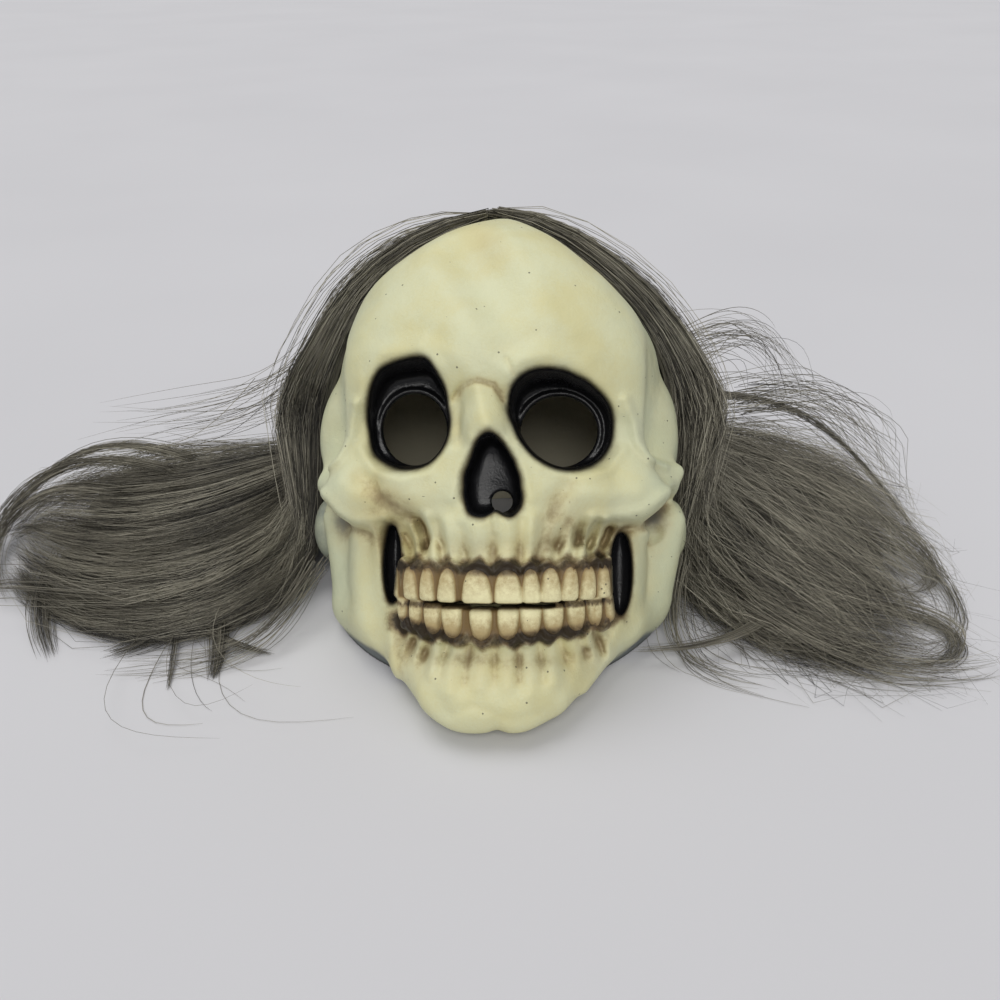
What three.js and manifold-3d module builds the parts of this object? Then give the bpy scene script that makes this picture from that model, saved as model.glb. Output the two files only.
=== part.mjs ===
// A cast latex skull mask with long hair, in millimetres, +Z up, resting on z = 0.
// The hollow skull leans back on the flat rim of its neck opening. The hair is two halves
// that start at a middle parting, lie over the back of the head and spread on the table.
import * as THREE from "three";
import { mergeVertices } from "three/addons/utils/BufferGeometryUtils.js";
import Module from "manifold-3d";

const wasm = await Module();
wasm.setup();

// Driving sizes of the skull. Its own frame has x to the right, y to the back and z up the face.
const cheekWidth = 214; // across the cheek arches
const faceReach = 108; // from the middle of the head to the front teeth
const maskHeight = 286; // from chin to crown
const wall = 2.6; // latex thickness
const leanAngle = 30; // degrees that the face leans back
const middleHeight = 92; // height of the middle of the head above the table

// Openings and hollows of the face. A hollow is cut from in front of the face to its floor, and
// its rim lies at a share of faceReach.
const inFront = 1.3; // share of faceReach that is clear of the face
const socketRim = 0.74;
const socketDepth = 30;
const gapRim = 0.62; // of the gaps between teeth and jaw
const gapDepth = 20;
const nostrilRadius = 5.5;
const noseRim = 0.9;
const noseDepth = 24;
const noseWidth = 28;
const noseHeight = 43;
const mouthSlitHeight = 1.8;
const mouthSlitWidth = 50;

// Teeth
const upperToothHeight = 20;
const lowerToothHeight = 20;
const toothDepth = 19;

// Hair
const hairThickness = 8; // over the back of the head
const hairReach = 310; // from the middle of the mask to the end of the longer lobe
const hairSpread = 140; // half the depth that a lobe may take on the table
const lobeHeight = 46;
const lockRadius = 20;
const locksPerSide = 8;
const partingGap = 1.2;
const hairGap = 0.5; // between hair and latex

const halfWidth = cheekWidth / 2;
const halfHeight = maskHeight / 2;
const lean = THREE.MathUtils.degToRad(leanAngle);
const place = (x, y, z) => new THREE.Vector3(x * halfWidth, y * faceReach, z * halfHeight);

// Rounded forms of the skull. Places and radii are shares of halfWidth, faceReach and halfHeight.
// A row with a middle is made twice, mirrored about a plane at that share of halfWidth.
const forms = [
  { name: "cranium", x: 0, y: 0.14, z: 0.14, rx: 0.915, ry: 0.98, rz: 0.8, blend: 0 },
  { name: "neck", x: 0, y: 0.28, z: -0.52, rx: 0.98, ry: 0.95, rz: 0.84, blend: 0.08 },
  { name: "forehead", x: 0, y: -0.34, z: 0.36, rx: 0.7, ry: 0.44, rz: 0.42, blend: 0.2 },
  { name: "glabella", x: 0, y: -0.76, z: 0.24, rx: 0.22, ry: 0.1, rz: 0.1, blend: 0.12 },
  { name: "midface", x: 0.02, y: -0.44, z: -0.2, rx: 0.6, ry: 0.38, rz: 0.28, blend: 0.1 },
  { name: "maxilla", x: 0.05, y: -0.6, z: -0.33, rx: 0.4, ry: 0.35, rz: 0.2, blend: 0.12 },
  { name: "cheekbone", middle: 0.01, x: 0.6, y: -0.58, z: -0.23, rx: 0.24, ry: 0.16, rz: 0.11, blend: 0.12 },
  { name: "under_eye", middle: 0.01, x: 0.36, y: -0.73, z: -0.21, rx: 0.2, ry: 0.13, rz: 0.09, blend: 0.12 },
  { name: "mastoid", middle: 0, x: 0.97, y: 0.11, z: -0.37, rx: 0.09, ry: 0.13, rz: 0.13, blend: 0.06 },
  { name: "chin", x: 0.01, y: -0.83, z: -0.94, rx: 0.3, ry: 0.14, rz: 0.12, blend: 0.11 },
  { name: "chin_lobe", middle: 0, x: 0.11, y: -0.87, z: -1.01, rx: 0.12, ry: 0.08, rz: 0.065, blend: 0.06 },
];

// Bars of bone, each a tapered round bar between two places. Radii are shares of halfWidth.
const bars = [
  {
    name: "brow", middle: 0, r1: 0.1, r2: 0.08, blend: 0.3,
    x1: 0.13, y1: -0.72, z1: 0.31, x2: 0.58, y2: -0.52, z2: 0.29,
  },
  {
    name: "orbit_rim", middle: 0, r1: 0.08, r2: 0.09, blend: 0.16,
    x1: 0.65, y1: -0.49, z1: 0.22, x2: 0.67, y2: -0.5, z2: -0.12,
  },
  {
    name: "nose_bridge", middle: -0.015, r1: 0.08, r2: 0.06, blend: 0.09,
    x1: 0, y1: -0.78, z1: 0.14, x2: 0, y2: -0.91, z2: 0.01,
  },
  {
    name: "nose_side", middle: 0.01, r1: 0.06, r2: 0.07, blend: 0.1,
    x1: 0.07, y1: -0.84, z1: 0.03, x2: 0.2, y2: -0.8, z2: -0.18,
  },
  {
    name: "arch", middle: 0, r1: 0.12, r2: 0.085, blend: 0.07,
    x1: 0.66, y1: -0.54, z1: -0.2, x2: 0.91, y2: -0.2, z2: -0.18,
  },
  {
    name: "ramus_back", middle: 0.01, r1: 0.09, r2: 0.1, blend: 0.06,
    x1: 0.87, y1: -0.15, z1: -0.33, x2: 0.78, y2: -0.15, z2: -0.66,
  },
  {
    name: "ramus_front", middle: 0.03, r1: 0.075, r2: 0.08, blend: 0.12,
    x1: 0.68, y1: -0.4, z1: -0.34, x2: 0.64, y2: -0.41, z2: -0.7,
  },
  {
    name: "jaw_corner", middle: 0.01, r1: 0.1, r2: 0.1, blend: 0.1,
    x1: 0.77, y1: -0.19, z1: -0.68, x2: 0.54, y2: -0.44, z2: -0.75,
  },
  {
    name: "jaw_body", middle: 0.02, r1: 0.12, r2: 0.14, blend: 0.07,
    x1: 0.48, y1: -0.46, z1: -0.79, x2: 0.24, y2: -0.78, z2: -0.92,
  },
  {
    name: "upper_gum", middle: 0.07, r1: 0.1, r2: 0.1, blend: 0.06,
    x1: 0, y1: -0.85, z1: -0.49, x2: 0.33, y2: -0.75, z2: -0.49,
  },
  {
    name: "upper_gum_end", middle: 0.07, r1: 0.1, r2: 0.08, blend: 0.06,
    x1: 0.33, y1: -0.75, z1: -0.49, x2: 0.5, y2: -0.53, z2: -0.48,
  },
  {
    name: "lower_gum", middle: 0.06, r1: 0.1, r2: 0.1, blend: 0.06,
    x1: 0, y1: -0.82, z1: -0.73, x2: 0.32, y2: -0.72, z2: -0.71,
  },
  {
    name: "lower_gum_end", middle: 0.06, r1: 0.1, r2: 0.08, blend: 0.06,
    x1: 0.32, y1: -0.72, z1: -0.71, x2: 0.49, y2: -0.5, z2: -0.68,
  },
];

// Hollows in the outside of the skull, cut as bars with a soft edge.
const hollows = [
  {
    name: "temple", middle: 0, r1: 0.2, r2: 0.2, blend: 0.1,
    x1: 1.0, y1: -0.5, z1: 0.26, x2: 0.99, y2: -0.4, z2: 0,
  },
  {
    name: "under_cheek", middle: 0.03, r1: 0.14, r2: 0.1, blend: 0.08,
    x1: 0.56, y1: -1, z1: -0.42, x2: 0.56, y2: -0.72, z2: -0.41,
  },
  {
    name: "jaw_notch", middle: 0, r1: 0.05, r2: 0.04, blend: 0.02,
    x1: 0.84, y1: -0.42, z1: -0.3, x2: 0.81, y2: -0.34, z2: -0.37,
  },
  {
    name: "forehead_dent", r1: 0.12, r2: 0.1, blend: 0.16,
    x1: -0.15, y1: -0.68, z1: 0.74, x2: 0.12, y2: -0.98, z2: 0.4,
  },
];

// Teeth from left to right: at and width are shares of the half row, lift shares of a tooth's height.
const upperTeeth = [
  { at: -0.95, width: 0.12, lift: 0.02 },
  { at: -0.79, width: 0.14, lift: 0.02 },
  { at: -0.64, width: 0.14, lift: 0.02 },
  { at: -0.47, width: 0.16, lift: 0.01 },
  { at: -0.22, width: 0.25, lift: 0 },
  { at: 0.04, width: 0.23, lift: 0.01 },
  { at: 0.23, width: 0.15, lift: 0.02 },
  { at: 0.39, width: 0.17, lift: 0.04 },
  { at: 0.55, width: 0.15, lift: 0.07 },
  { at: 0.7, width: 0.14, lift: 0.08 },
  { at: 0.83, width: 0.13, lift: 0.1 },
  { at: 0.95, width: 0.12, lift: 0.12 },
];
const lowerTeeth = [
  { at: -0.88, width: 0.11, lift: 0.28 },
  { at: -0.76, width: 0.13, lift: 0.16 },
  { at: -0.61, width: 0.16, lift: 0.06 },
  { at: -0.44, width: 0.18, lift: 0 },
  { at: -0.19, width: 0.19, lift: -0.03 },
  { at: 0.04, width: 0.18, lift: 0 },
  { at: 0.23, width: 0.18, lift: 0.06 },
  { at: 0.42, width: 0.18, lift: 0.12 },
  { at: 0.61, width: 0.17, lift: 0.18 },
  { at: 0.77, width: 0.14, lift: 0.26 },
  { at: 0.91, width: 0.13, lift: 0.34 },
];
const toothRows = [
  { teeth: upperTeeth, height: upperToothHeight, middle: 0.07, z: -0.535, reach: 0.915, halfRow: 0.52 },
  { teeth: lowerTeeth, height: lowerToothHeight, middle: 0.07, z: -0.69, reach: 0.885, halfRow: 0.51 },
];

// Eye sockets: a wide oval and a smaller one that raises its inner top corner, and the round
// hole to look through. Places and radii are shares as for the forms.
const sockets = [
  {
    name: "left",
    oval: { x: -0.41, z: 0.02, rx: 0.2, rz: 0.15 },
    corner: { x: -0.36, z: 0.16, rx: 0.13, rz: 0.11 },
    hole: { x: -0.41, z: 0.025, rx: 0.165, rz: 0.138 },
  },
  {
    name: "right",
    oval: { x: 0.38, z: 0.02, rx: 0.22, rz: 0.145 },
    corner: { x: 0.26, z: 0.13, rx: 0.155, rz: 0.105 },
    hole: { x: 0.33, z: 0.018, rx: 0.195, rz: 0.136 },
  },
];

const cheekGaps = [
  { x: -0.51, z: -0.49, rx: 0.045, rz: 0.15 },
  { x: 0.645, z: -0.52, rx: 0.055, rz: 0.16 },
];
const nostril = { x: 0.05, z: -0.25, rx: nostrilRadius / halfWidth, rz: nostrilRadius / halfHeight };
const nose = { x: 0.02, z: -0.165 };
const mouthSlit = { x: 0.08, z: -0.612 };

// Rails that the hair follows from the parting. On the head a rail keeps one angle to the back and
// has stations at angles from the crown. Its stations on the table are shares of hairReach,
// hairSpread and lobeHeight, from the front rail of a side to the back one.
const headStations = [6, 34, 62, 88];
const rails = {
  left: [
    {
      back: 6,
      table: [
        { out: 0.4, rear: -0.2, up: 0.8 },
        { out: 0.52, rear: -0.46, up: 0.4 },
        { out: 0.73, rear: -0.4, up: 0.35 },
        { out: 0.98, rear: -0.12, up: 0.2 },
      ],
    },
    {
      back: 26,
      table: [
        { out: 0.43, rear: 0.15, up: 0.9 },
        { out: 0.6, rear: 0.17, up: 0.6 },
        { out: 0.8, rear: 0.22, up: 0.5 },
        { out: 1.04, rear: 0.22, up: 0.3 },
      ],
    },
    {
      back: 50,
      table: [
        { out: 0.43, rear: 0.48, up: 0.9 },
        { out: 0.6, rear: 0.78, up: 0.55 },
        { out: 0.79, rear: 0.8, up: 0.45 },
        { out: 0.97, rear: 0.62, up: 0.25 },
      ],
    },
  ],
  right: [
    {
      back: 6,
      table: [
        { out: 0.4, rear: -0.25, up: 0.8 },
        { out: 0.5, rear: -0.48, up: 0.4 },
        { out: 0.59, rear: -0.55, up: 0.3 },
        { out: 0.68, rear: -0.57, up: 0.15 },
      ],
    },
    {
      back: 26,
      table: [
        { out: 0.43, rear: 0.12, up: 0.95 },
        { out: 0.56, rear: 0.07, up: 0.65 },
        { out: 0.67, rear: 0.03, up: 0.5 },
        { out: 0.78, rear: 0.02, up: 0.3 },
      ],
    },
    {
      back: 50,
      table: [
        { out: 0.43, rear: 0.48, up: 0.95 },
        { out: 0.58, rear: 0.8, up: 0.6 },
        { out: 0.7, rear: 0.82, up: 0.45 },
        { out: 0.8, rear: 0.66, up: 0.25 },
      ],
    },
  ],
};

// Distance from a point to a rounded form, negative inside it.
function formDistance(p, row, side) {
  const c = place((row.middle ?? 0) + row.x * side, row.y, row.z);
  const r = place(row.rx, row.ry, row.rz);
  const q = new THREE.Vector3().subVectors(p, c);
  const near = q.clone().divide(r).length();
  const slope = q.divide(r).divide(r).length();
  return slope > 0 ? (near * (near - 1)) / slope : -Math.min(r.x, r.y, r.z);
}

// Distance from a point to a tapered bar, negative inside it.
function barDistance(p, row, side) {
  const middle = row.middle ?? 0;
  const from = place(middle + row.x1 * side, row.y1, row.z1);
  const along = place(middle + row.x2 * side, row.y2, row.z2).sub(from);
  const q = new THREE.Vector3().subVectors(p, from);
  const t = THREE.MathUtils.clamp(q.dot(along) / along.lengthSq(), 0, 1);
  const radius = THREE.MathUtils.lerp(row.r1, row.r2, t) * halfWidth;
  return q.addScaledVector(along, -t).length() - radius;
}

// The lower of two distances, rounded where they meet.
function softLower(a, b, reach) {
  if (reach <= 0) return Math.min(a, b);
  const h = Math.max(reach - Math.abs(a - b), 0) / reach;
  return Math.min(a, b) - (h * h * reach) / 4;
}

// Distance from a point to the outside of the skull before its openings are cut.
function skullDistance(p) {
  const sides = (row) => ("middle" in row ? [1, -1] : [1]);
  let distance = Infinity;
  for (const row of forms)
    for (const side of sides(row))
      distance = softLower(distance, formDistance(p, row, side), row.blend * halfWidth);
  for (const row of bars)
    for (const side of sides(row))
      distance = softLower(distance, barDistance(p, row, side), row.blend * halfWidth);
  for (const row of hollows)
    for (const side of sides(row))
      distance = -softLower(-distance, barDistance(p, row, side), row.blend * halfWidth);
  return distance;
}

// How far the skull's surface lies from the middle of the head in one direction, where the
// level is the distance from the outside surface, so a negative level is inside the wall.
function skullRadius(direction, level) {
  const farthest = 1.6 * Math.max(halfWidth, faceReach, halfHeight);
  const stepShare = 0.6;
  const closeEnough = 0.02;
  let radius = farthest;
  for (let step = 0; step < 90; step += 1) {
    const gap = skullDistance(direction.clone().multiplyScalar(radius)) - level;
    if (gap < closeEnough) break;
    radius -= gap * stepShare;
  }
  return radius;
}

// Directions from the middle of the head, closest together over the face.
const columns = 38;
const columnCrowding = 0.36;
const rowBands = [
  { from: -90, to: -64, rows: 3 },
  { from: -64, to: 22, rows: 18 },
  { from: 22, to: 90, rows: 6 },
];
const rowAngles = rowBands.flatMap(({ from, to, rows }) =>
  Array.from({ length: rows }, (_, i) => from + ((to - from) * i) / rows),
).slice(1);
const directions = rowAngles.map((elevation) =>
  Array.from({ length: columns }, (_, column) => {
    const turn = (2 * Math.PI * column) / columns;
    const azimuth = turn - columnCrowding * Math.sin(turn);
    const up = THREE.MathUtils.degToRad(elevation);
    return new THREE.Vector3(
      Math.cos(up) * Math.sin(azimuth),
      -Math.cos(up) * Math.cos(azimuth),
      Math.sin(up),
    );
  }),
);
const poles = [new THREE.Vector3(0, 0, -1), new THREE.Vector3(0, 0, 1)];

// Distances to one level of the skull, a row for each elevation, and those at the two poles.
function radiiAt(level) {
  return {
    rows: directions.map((row) => row.map((direction) => skullRadius(direction, level))),
    poles: poles.map((direction) => skullRadius(direction, level)),
  };
}

// A closed round geometry with its vertices at the given distances in the fixed directions.
function roundGeometry(radii, extra) {
  const points = [poles[0].clone().multiplyScalar(radii.poles[0] + extra)];
  directions.forEach((row, i) =>
    row.forEach((direction, j) => points.push(direction.clone().multiplyScalar(radii.rows[i][j] + extra))),
  );
  points.push(poles[1].clone().multiplyScalar(radii.poles[1] + extra));
  const at = (row, column) => 1 + row * columns + (column % columns);
  const top = points.length - 1;
  const faces = [];
  for (let column = 0; column < columns; column += 1) {
    faces.push(0, at(0, column + 1), at(0, column));
    faces.push(top, at(directions.length - 1, column), at(directions.length - 1, column + 1));
    for (let row = 0; row < directions.length - 1; row += 1) {
      faces.push(at(row, column), at(row, column + 1), at(row + 1, column + 1));
      faces.push(at(row, column), at(row + 1, column + 1), at(row + 1, column));
    }
  }
  const geometry = new THREE.BufferGeometry().setFromPoints(points);
  geometry.setIndex(faces);
  return geometry;
}

// A closed geometry as a solid that can be cut and joined.
function solidOf(geometry) {
  const bare = geometry.clone();
  bare.deleteAttribute("normal");
  bare.deleteAttribute("uv");
  const merged = mergeVertices(bare, 1e-3);
  return new wasm.Manifold(
    new wasm.Mesh({
      numProp: 3,
      vertProperties: merged.getAttribute("position").array,
      triVerts: new Uint32Array(merged.index.array),
    }),
  );
}

// A solid as a geometry again.
function geometryOf(solid) {
  const mesh = solid.getMesh();
  const geometry = new THREE.BufferGeometry();
  geometry.setAttribute("position", new THREE.BufferAttribute(new Float32Array(mesh.vertProperties), 3));
  geometry.setIndex(new THREE.BufferAttribute(new Uint32Array(mesh.triVerts), 1));
  return geometry;
}

// A body with its sections along y, from its mouth in front to its floor. Each section is an
// outline of points around its own centre.
function tunnel(sections) {
  const sides = sections[0].length;
  const points = sections.flat();
  const faces = [];
  for (let i = 0; i < sides; i += 1) {
    const next = (i + 1) % sides;
    for (let s = 0; s < sections.length - 1; s += 1) {
      const here = s * sides;
      const there = here + sides;
      faces.push(here + i, there + i, there + next, here + i, there + next, here + next);
    }
  }
  for (let i = 1; i < sides - 1; i += 1) {
    faces.push(0, i, i + 1);
    const last = (sections.length - 1) * sides;
    faces.push(last, last + i + 1, last + i);
  }
  const geometry = new THREE.BufferGeometry().setFromPoints(points);
  geometry.setIndex(faces);
  return geometry;
}

// How far an ellipse reaches from a point in one direction, or 0 where it isn't met.
function ellipseReach(ellipse, from, dx, dz) {
  const rx = ellipse.rx * halfWidth;
  const rz = ellipse.rz * halfHeight;
  const ox = (ellipse.x - from.x) * halfWidth;
  const oz = (ellipse.z - from.z) * halfHeight;
  const a = (dx / rx) ** 2 + (dz / rz) ** 2;
  const b = (dx * ox) / rx ** 2 + (dz * oz) / rz ** 2;
  const c = (ox / rx) ** 2 + (oz / rz) ** 2 - 1;
  const root = b * b - a * c;
  return root > 0 ? Math.max((b + Math.sqrt(root)) / a, 0) : 0;
}

// The outline around one or more overlapping ellipses at a depth, larger by grow.
function ovalOutline(ellipses, y, share, grow, sides) {
  const centre = place(ellipses[0].x, 0, ellipses[0].z);
  return Array.from({ length: sides }, (_, i) => {
    const angle = (2 * Math.PI * i) / sides;
    const dx = Math.cos(angle);
    const dz = Math.sin(angle);
    const reach = Math.max(...ellipses.map((ellipse) => ellipseReach(ellipse, ellipses[0], dx, dz)));
    const radius = reach * share + grow;
    return new THREE.Vector3(centre.x + dx * radius, y, centre.z + dz * radius);
  });
}

// A pocket in the face, from in front of it to a floor behind its rim. It widens towards its
// mouth and narrows towards its floor.
function pocketSolid(ellipses, rim, depth, mouthShare, grow) {
  const sides = ellipses.length > 1 ? 18 : 10;
  const floorShare = 0.92;
  const rimY = -rim * faceReach;
  return solidOf(
    tunnel([
      ovalOutline(ellipses, -inFront * faceReach, mouthShare, grow, sides),
      ovalOutline(ellipses, rimY, 1, grow, sides),
      ovalOutline(ellipses, rimY + depth + grow, floorShare, grow, sides),
    ]),
  );
}
const socketMouth = 1.12;
const pockets = [
  ...sockets.map(
    (row) => (grow) => pocketSolid([row.oval, row.corner], socketRim, socketDepth, socketMouth, grow),
  ),
  ...cheekGaps.map((row) => (grow) => pocketSolid([row], gapRim, gapDepth, 1, grow)),
  (grow) => noseSolid(grow),
];

// A round or oval hole along y, between two shares of faceReach.
function holeSolid(ellipse, from, to, sides) {
  return solidOf(
    tunnel([
      ovalOutline([ellipse], -from * faceReach, 1, 0, sides),
      ovalOutline([ellipse], -to * faceReach, 1, 0, sides),
    ]),
  );
}

// The pear-shaped hollow of the nose, narrow at the top with two lobes below.
function noseSolid(grow) {
  const sides = 16;
  const narrowTop = 0.55;
  const narrowFoot = 0.1;
  const mouthShare = 1.1;
  const floorShare = 0.86;
  const centre = place(nose.x, -noseRim, nose.z);
  const outline = (y, share) =>
    Array.from({ length: sides }, (_, i) => {
      const angle = (2 * Math.PI * i) / sides;
      const rise = Math.sin(angle);
      const narrowing = rise > 0 ? 1 - narrowTop * rise : 1 - narrowFoot * rise * rise;
      const x = Math.cos(angle) * ((noseWidth / 2) * narrowing * share + grow);
      const z = rise * ((noseHeight / 2) * share + grow);
      return new THREE.Vector3(centre.x + x, y, centre.z + z);
    });
  return solidOf(
    tunnel([
      outline(-inFront * faceReach, mouthShare),
      outline(centre.y, 1),
      outline(centre.y + noseDepth + grow, floorShare),
    ]),
  );
}

// Where a row of teeth runs: a point on its curve at a share of the half row, and its turn.
function toothPlace(row, at) {
  const halfRow = row.halfRow * halfWidth;
  const across = row.reach * faceReach;
  const rowDepth = 0.52; // of the reach, over the whole oval
  const ovalEnd = 1.16; // where the oval of the row would end, in half rows
  const x = row.middle * halfWidth + at * halfRow;
  const bend = Math.sqrt(Math.max(1 - (at / ovalEnd) ** 2, 0.05));
  const y = -across * (1 - rowDepth + rowDepth * bend);
  const turn = Math.atan2(rowDepth * across * at, ovalEnd ** 2 * halfRow * bend);
  return { x, y, turn };
}

// One tooth, a round-cornered lump set into the gum.
function toothSolid(row, tooth) {
  const { x, y, turn } = toothPlace(row, tooth.at);
  const geometry = new THREE.SphereGeometry(1, 6, 5);
  const overlap = 0.6;
  const stretch = Math.hypot(1, Math.tan(turn) * overlap);
  const squareness = 0.72;
  const corner = (value) => Math.sign(value) * Math.abs(value) ** squareness;
  const points = geometry.getAttribute("position");
  for (let i = 0; i < points.count; i += 1)
    points.setXYZ(i, corner(points.getX(i)), corner(points.getY(i)), corner(points.getZ(i)));
  geometry.scale((tooth.width * row.halfRow * halfWidth * stretch) / 2, toothDepth / 2, row.height / 2);
  geometry.rotateZ(turn);
  geometry.translate(x, y, row.z * halfHeight + tooth.lift * row.height);
  return solidOf(geometry);
}

// Everything from a low to a high corner.
function blockSolid(low, high) {
  const size = new THREE.Vector3().subVectors(high, low);
  const geometry = new THREE.BoxGeometry(size.x, size.y, size.z);
  geometry.translate(low.x + size.x / 2, low.y + size.y / 2, low.z + size.z / 2);
  return solidOf(geometry);
}

// The skull's frame set on the table: leaning back, its middle at middleHeight.
const stand = new THREE.Matrix4()
  .makeTranslation(0, 0, middleHeight)
  .multiply(new THREE.Matrix4().makeRotationX(-lean));
const onTable = (solid) => solid.transform(stand.elements);
const far = 4 * hairReach;
const aboveTable = () => blockSolid(new THREE.Vector3(-far, -far, 0), new THREE.Vector3(far, far, far));

const outsideRadii = radiiAt(0);
const insideRadii = radiiAt(-wall);

// The cast latex skull: a hollow wall with sockets, nose, teeth and the neck opening below.
function makeSkull() {
  let body = solidOf(roundGeometry(outsideRadii, 0));
  for (const row of toothRows)
    for (const tooth of row.teeth) body = body.add(toothSolid(row, tooth));
  let hollow = solidOf(roundGeometry(insideRadii, 0));
  for (const pocket of pockets) {
    body = body.subtract(pocket(0));
    hollow = hollow.subtract(pocket(wall));
  }
  body = body.subtract(hollow);
  for (const row of sockets) body = body.subtract(holeSolid(row.hole, 0.6, 0, 20));
  body = body.subtract(holeSolid(nostril, 0.8, 0.3, 10));
  const slit = place(mouthSlit.x, -0.5, mouthSlit.z);
  body = body.subtract(
    blockSolid(
      new THREE.Vector3(slit.x - mouthSlitWidth / 2, -inFront * faceReach, slit.z - mouthSlitHeight / 2),
      new THREE.Vector3(slit.x + mouthSlitWidth / 2, slit.y, slit.z + mouthSlitHeight / 2),
    ),
  );
  return onTable(body).intersect(aboveTable());
}

// A point over the head, clear of it by standoff, at an angle from the crown and one to the back.
function overHead(side, fromCrown, back, standoff) {
  const round = THREE.MathUtils.degToRad(fromCrown);
  const behind = THREE.MathUtils.degToRad(back);
  const direction = new THREE.Vector3(
    side * Math.sin(round) * Math.cos(behind),
    Math.sin(behind),
    Math.cos(round) * Math.cos(behind),
  );
  const radius = skullRadius(direction, 0) + standoff;
  return direction.multiplyScalar(radius).applyMatrix4(stand);
}

// The points of a hair rail in table space, from the parting to the end of the lobe.
function railPoints(side, rail) {
  const lift = (angle) => hairThickness * (0.3 + angle / 90);
  const overTop = headStations.map((angle) => overHead(side, angle, rail.back, lift(angle)));
  const onFloor = rail.table.map(
    ({ out, rear, up }) => new THREE.Vector3(side * out * hairReach, rear * hairSpread, up * lobeHeight),
  );
  return [...overTop, ...onFloor];
}

// A point between the three rails of a side, at a share from the front one to the back one.
function betweenRails(rows, station, share) {
  const [front, middle, back] = rows.map((points) => points[station]);
  const low = (1 - share) * (1 - 2 * share);
  const centre = 4 * share * (1 - share);
  const high = share * (2 * share - 1);
  return new THREE.Vector3()
    .addScaledVector(front, low)
    .addScaledVector(middle, centre)
    .addScaledVector(back, high);
}

// A lock of hair along a curve, round in section, thin at the parting and at its tip.
function lockSolid(points, radius) {
  const sides = 6;
  const steps = 10;
  const curve = new THREE.CatmullRomCurve3(points, false, "centripetal");
  const frames = curve.computeFrenetFrames(steps, false);
  const rings = Array.from({ length: steps + 1 }, (_, i) => {
    const t = i / steps;
    const centre = curve.getPointAt(t);
    const swell = Math.min(0.3 + 1.2 * t, 1) * Math.sqrt(Math.min(1, (1.03 - t) * 3.4));
    return Array.from({ length: sides }, (__, j) => {
      const angle = (2 * Math.PI * j) / sides;
      return centre
        .clone()
        .addScaledVector(frames.normals[i], radius * swell * Math.cos(angle))
        .addScaledVector(frames.binormals[i], radius * swell * Math.sin(angle));
    });
  });
  const solid = solidOf(tunnel(rings));
  return solid.volume() > 0 ? solid : solidOf(tunnel(rings.reverse()));
}

// One half of the hair: a layer over the back of the head and locks that spread on the table.
function makeHair(side, rows) {
  const hairline = 0.06 * faceReach;
  const layer = solidOf(roundGeometry(outsideRadii, hairThickness)).intersect(
    blockSolid(
      new THREE.Vector3(side > 0 ? 0 : -far, hairline, -far),
      new THREE.Vector3(side > 0 ? far : 0, far, far),
    ),
  );
  let hair = onTable(layer);
  const points = rows.map((rail) => railPoints(side, rail));
  for (let lock = 0; lock < locksPerSide; lock += 1) {
    const share = lock / (locksPerSide - 1);
    const route = points[0].map((_, station) => betweenRails(points, station, share));
    hair = hair.add(lockSolid(route, lockRadius));
  }
  const headClear = onTable(solidOf(roundGeometry(outsideRadii, hairGap)));
  const ownSide = blockSolid(
    new THREE.Vector3(side > 0 ? partingGap / 2 : -far, -far, 0),
    new THREE.Vector3(side > 0 ? far : -partingGap / 2, far, far),
  );
  return hair.subtract(headClear).intersect(ownSide);
}

function named(name, solid, material) {
  const mesh = new THREE.Mesh(geometryOf(solid), material);
  mesh.name = name;
  return mesh;
}

const boneLatex = new THREE.MeshStandardMaterial({ color: 0xd8d8b0, roughness: 0.6, metalness: 0 });
const greyHair = new THREE.MeshStandardMaterial({ color: 0x74726a, roughness: 0.75, metalness: 0 });

const mask = new THREE.Group();
mask.add(named("skull_shell", makeSkull(), boneLatex));
mask.add(named("hair_left", makeHair(-1, rails.left), greyHair));
mask.add(named("hair_right", makeHair(1, rails.right), greyHair));

// The origin is the middle of the whole part's footprint on the table.
const box = new THREE.Box3().setFromObject(mask);
const middle = box.getCenter(new THREE.Vector3());
mask.position.set(-middle.x, -middle.y, 0);

export default mask;
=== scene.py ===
import math

import bpy
import numpy as np
import openvdb
from mathutils import Matrix, Vector


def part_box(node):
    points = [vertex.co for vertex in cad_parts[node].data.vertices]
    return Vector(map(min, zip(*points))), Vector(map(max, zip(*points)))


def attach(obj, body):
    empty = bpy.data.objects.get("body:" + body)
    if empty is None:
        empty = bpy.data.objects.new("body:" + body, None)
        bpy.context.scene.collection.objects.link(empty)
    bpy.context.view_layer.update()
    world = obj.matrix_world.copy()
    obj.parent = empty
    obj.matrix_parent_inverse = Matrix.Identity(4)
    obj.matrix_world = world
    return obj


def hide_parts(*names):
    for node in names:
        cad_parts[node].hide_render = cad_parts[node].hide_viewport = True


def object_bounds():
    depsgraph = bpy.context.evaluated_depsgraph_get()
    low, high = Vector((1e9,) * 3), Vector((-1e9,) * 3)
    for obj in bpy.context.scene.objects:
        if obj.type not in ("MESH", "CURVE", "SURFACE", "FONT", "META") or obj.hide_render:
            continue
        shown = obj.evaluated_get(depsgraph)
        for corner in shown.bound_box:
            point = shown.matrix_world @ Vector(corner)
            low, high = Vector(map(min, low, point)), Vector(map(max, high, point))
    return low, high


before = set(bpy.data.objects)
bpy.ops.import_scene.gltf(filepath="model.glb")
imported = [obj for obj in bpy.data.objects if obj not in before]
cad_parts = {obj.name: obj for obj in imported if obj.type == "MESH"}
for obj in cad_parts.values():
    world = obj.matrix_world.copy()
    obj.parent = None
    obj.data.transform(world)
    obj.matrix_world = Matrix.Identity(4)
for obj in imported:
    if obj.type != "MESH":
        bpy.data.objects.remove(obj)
cad_low, cad_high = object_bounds()
bpy.ops.object.select_all(action="DESELECT")

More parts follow.
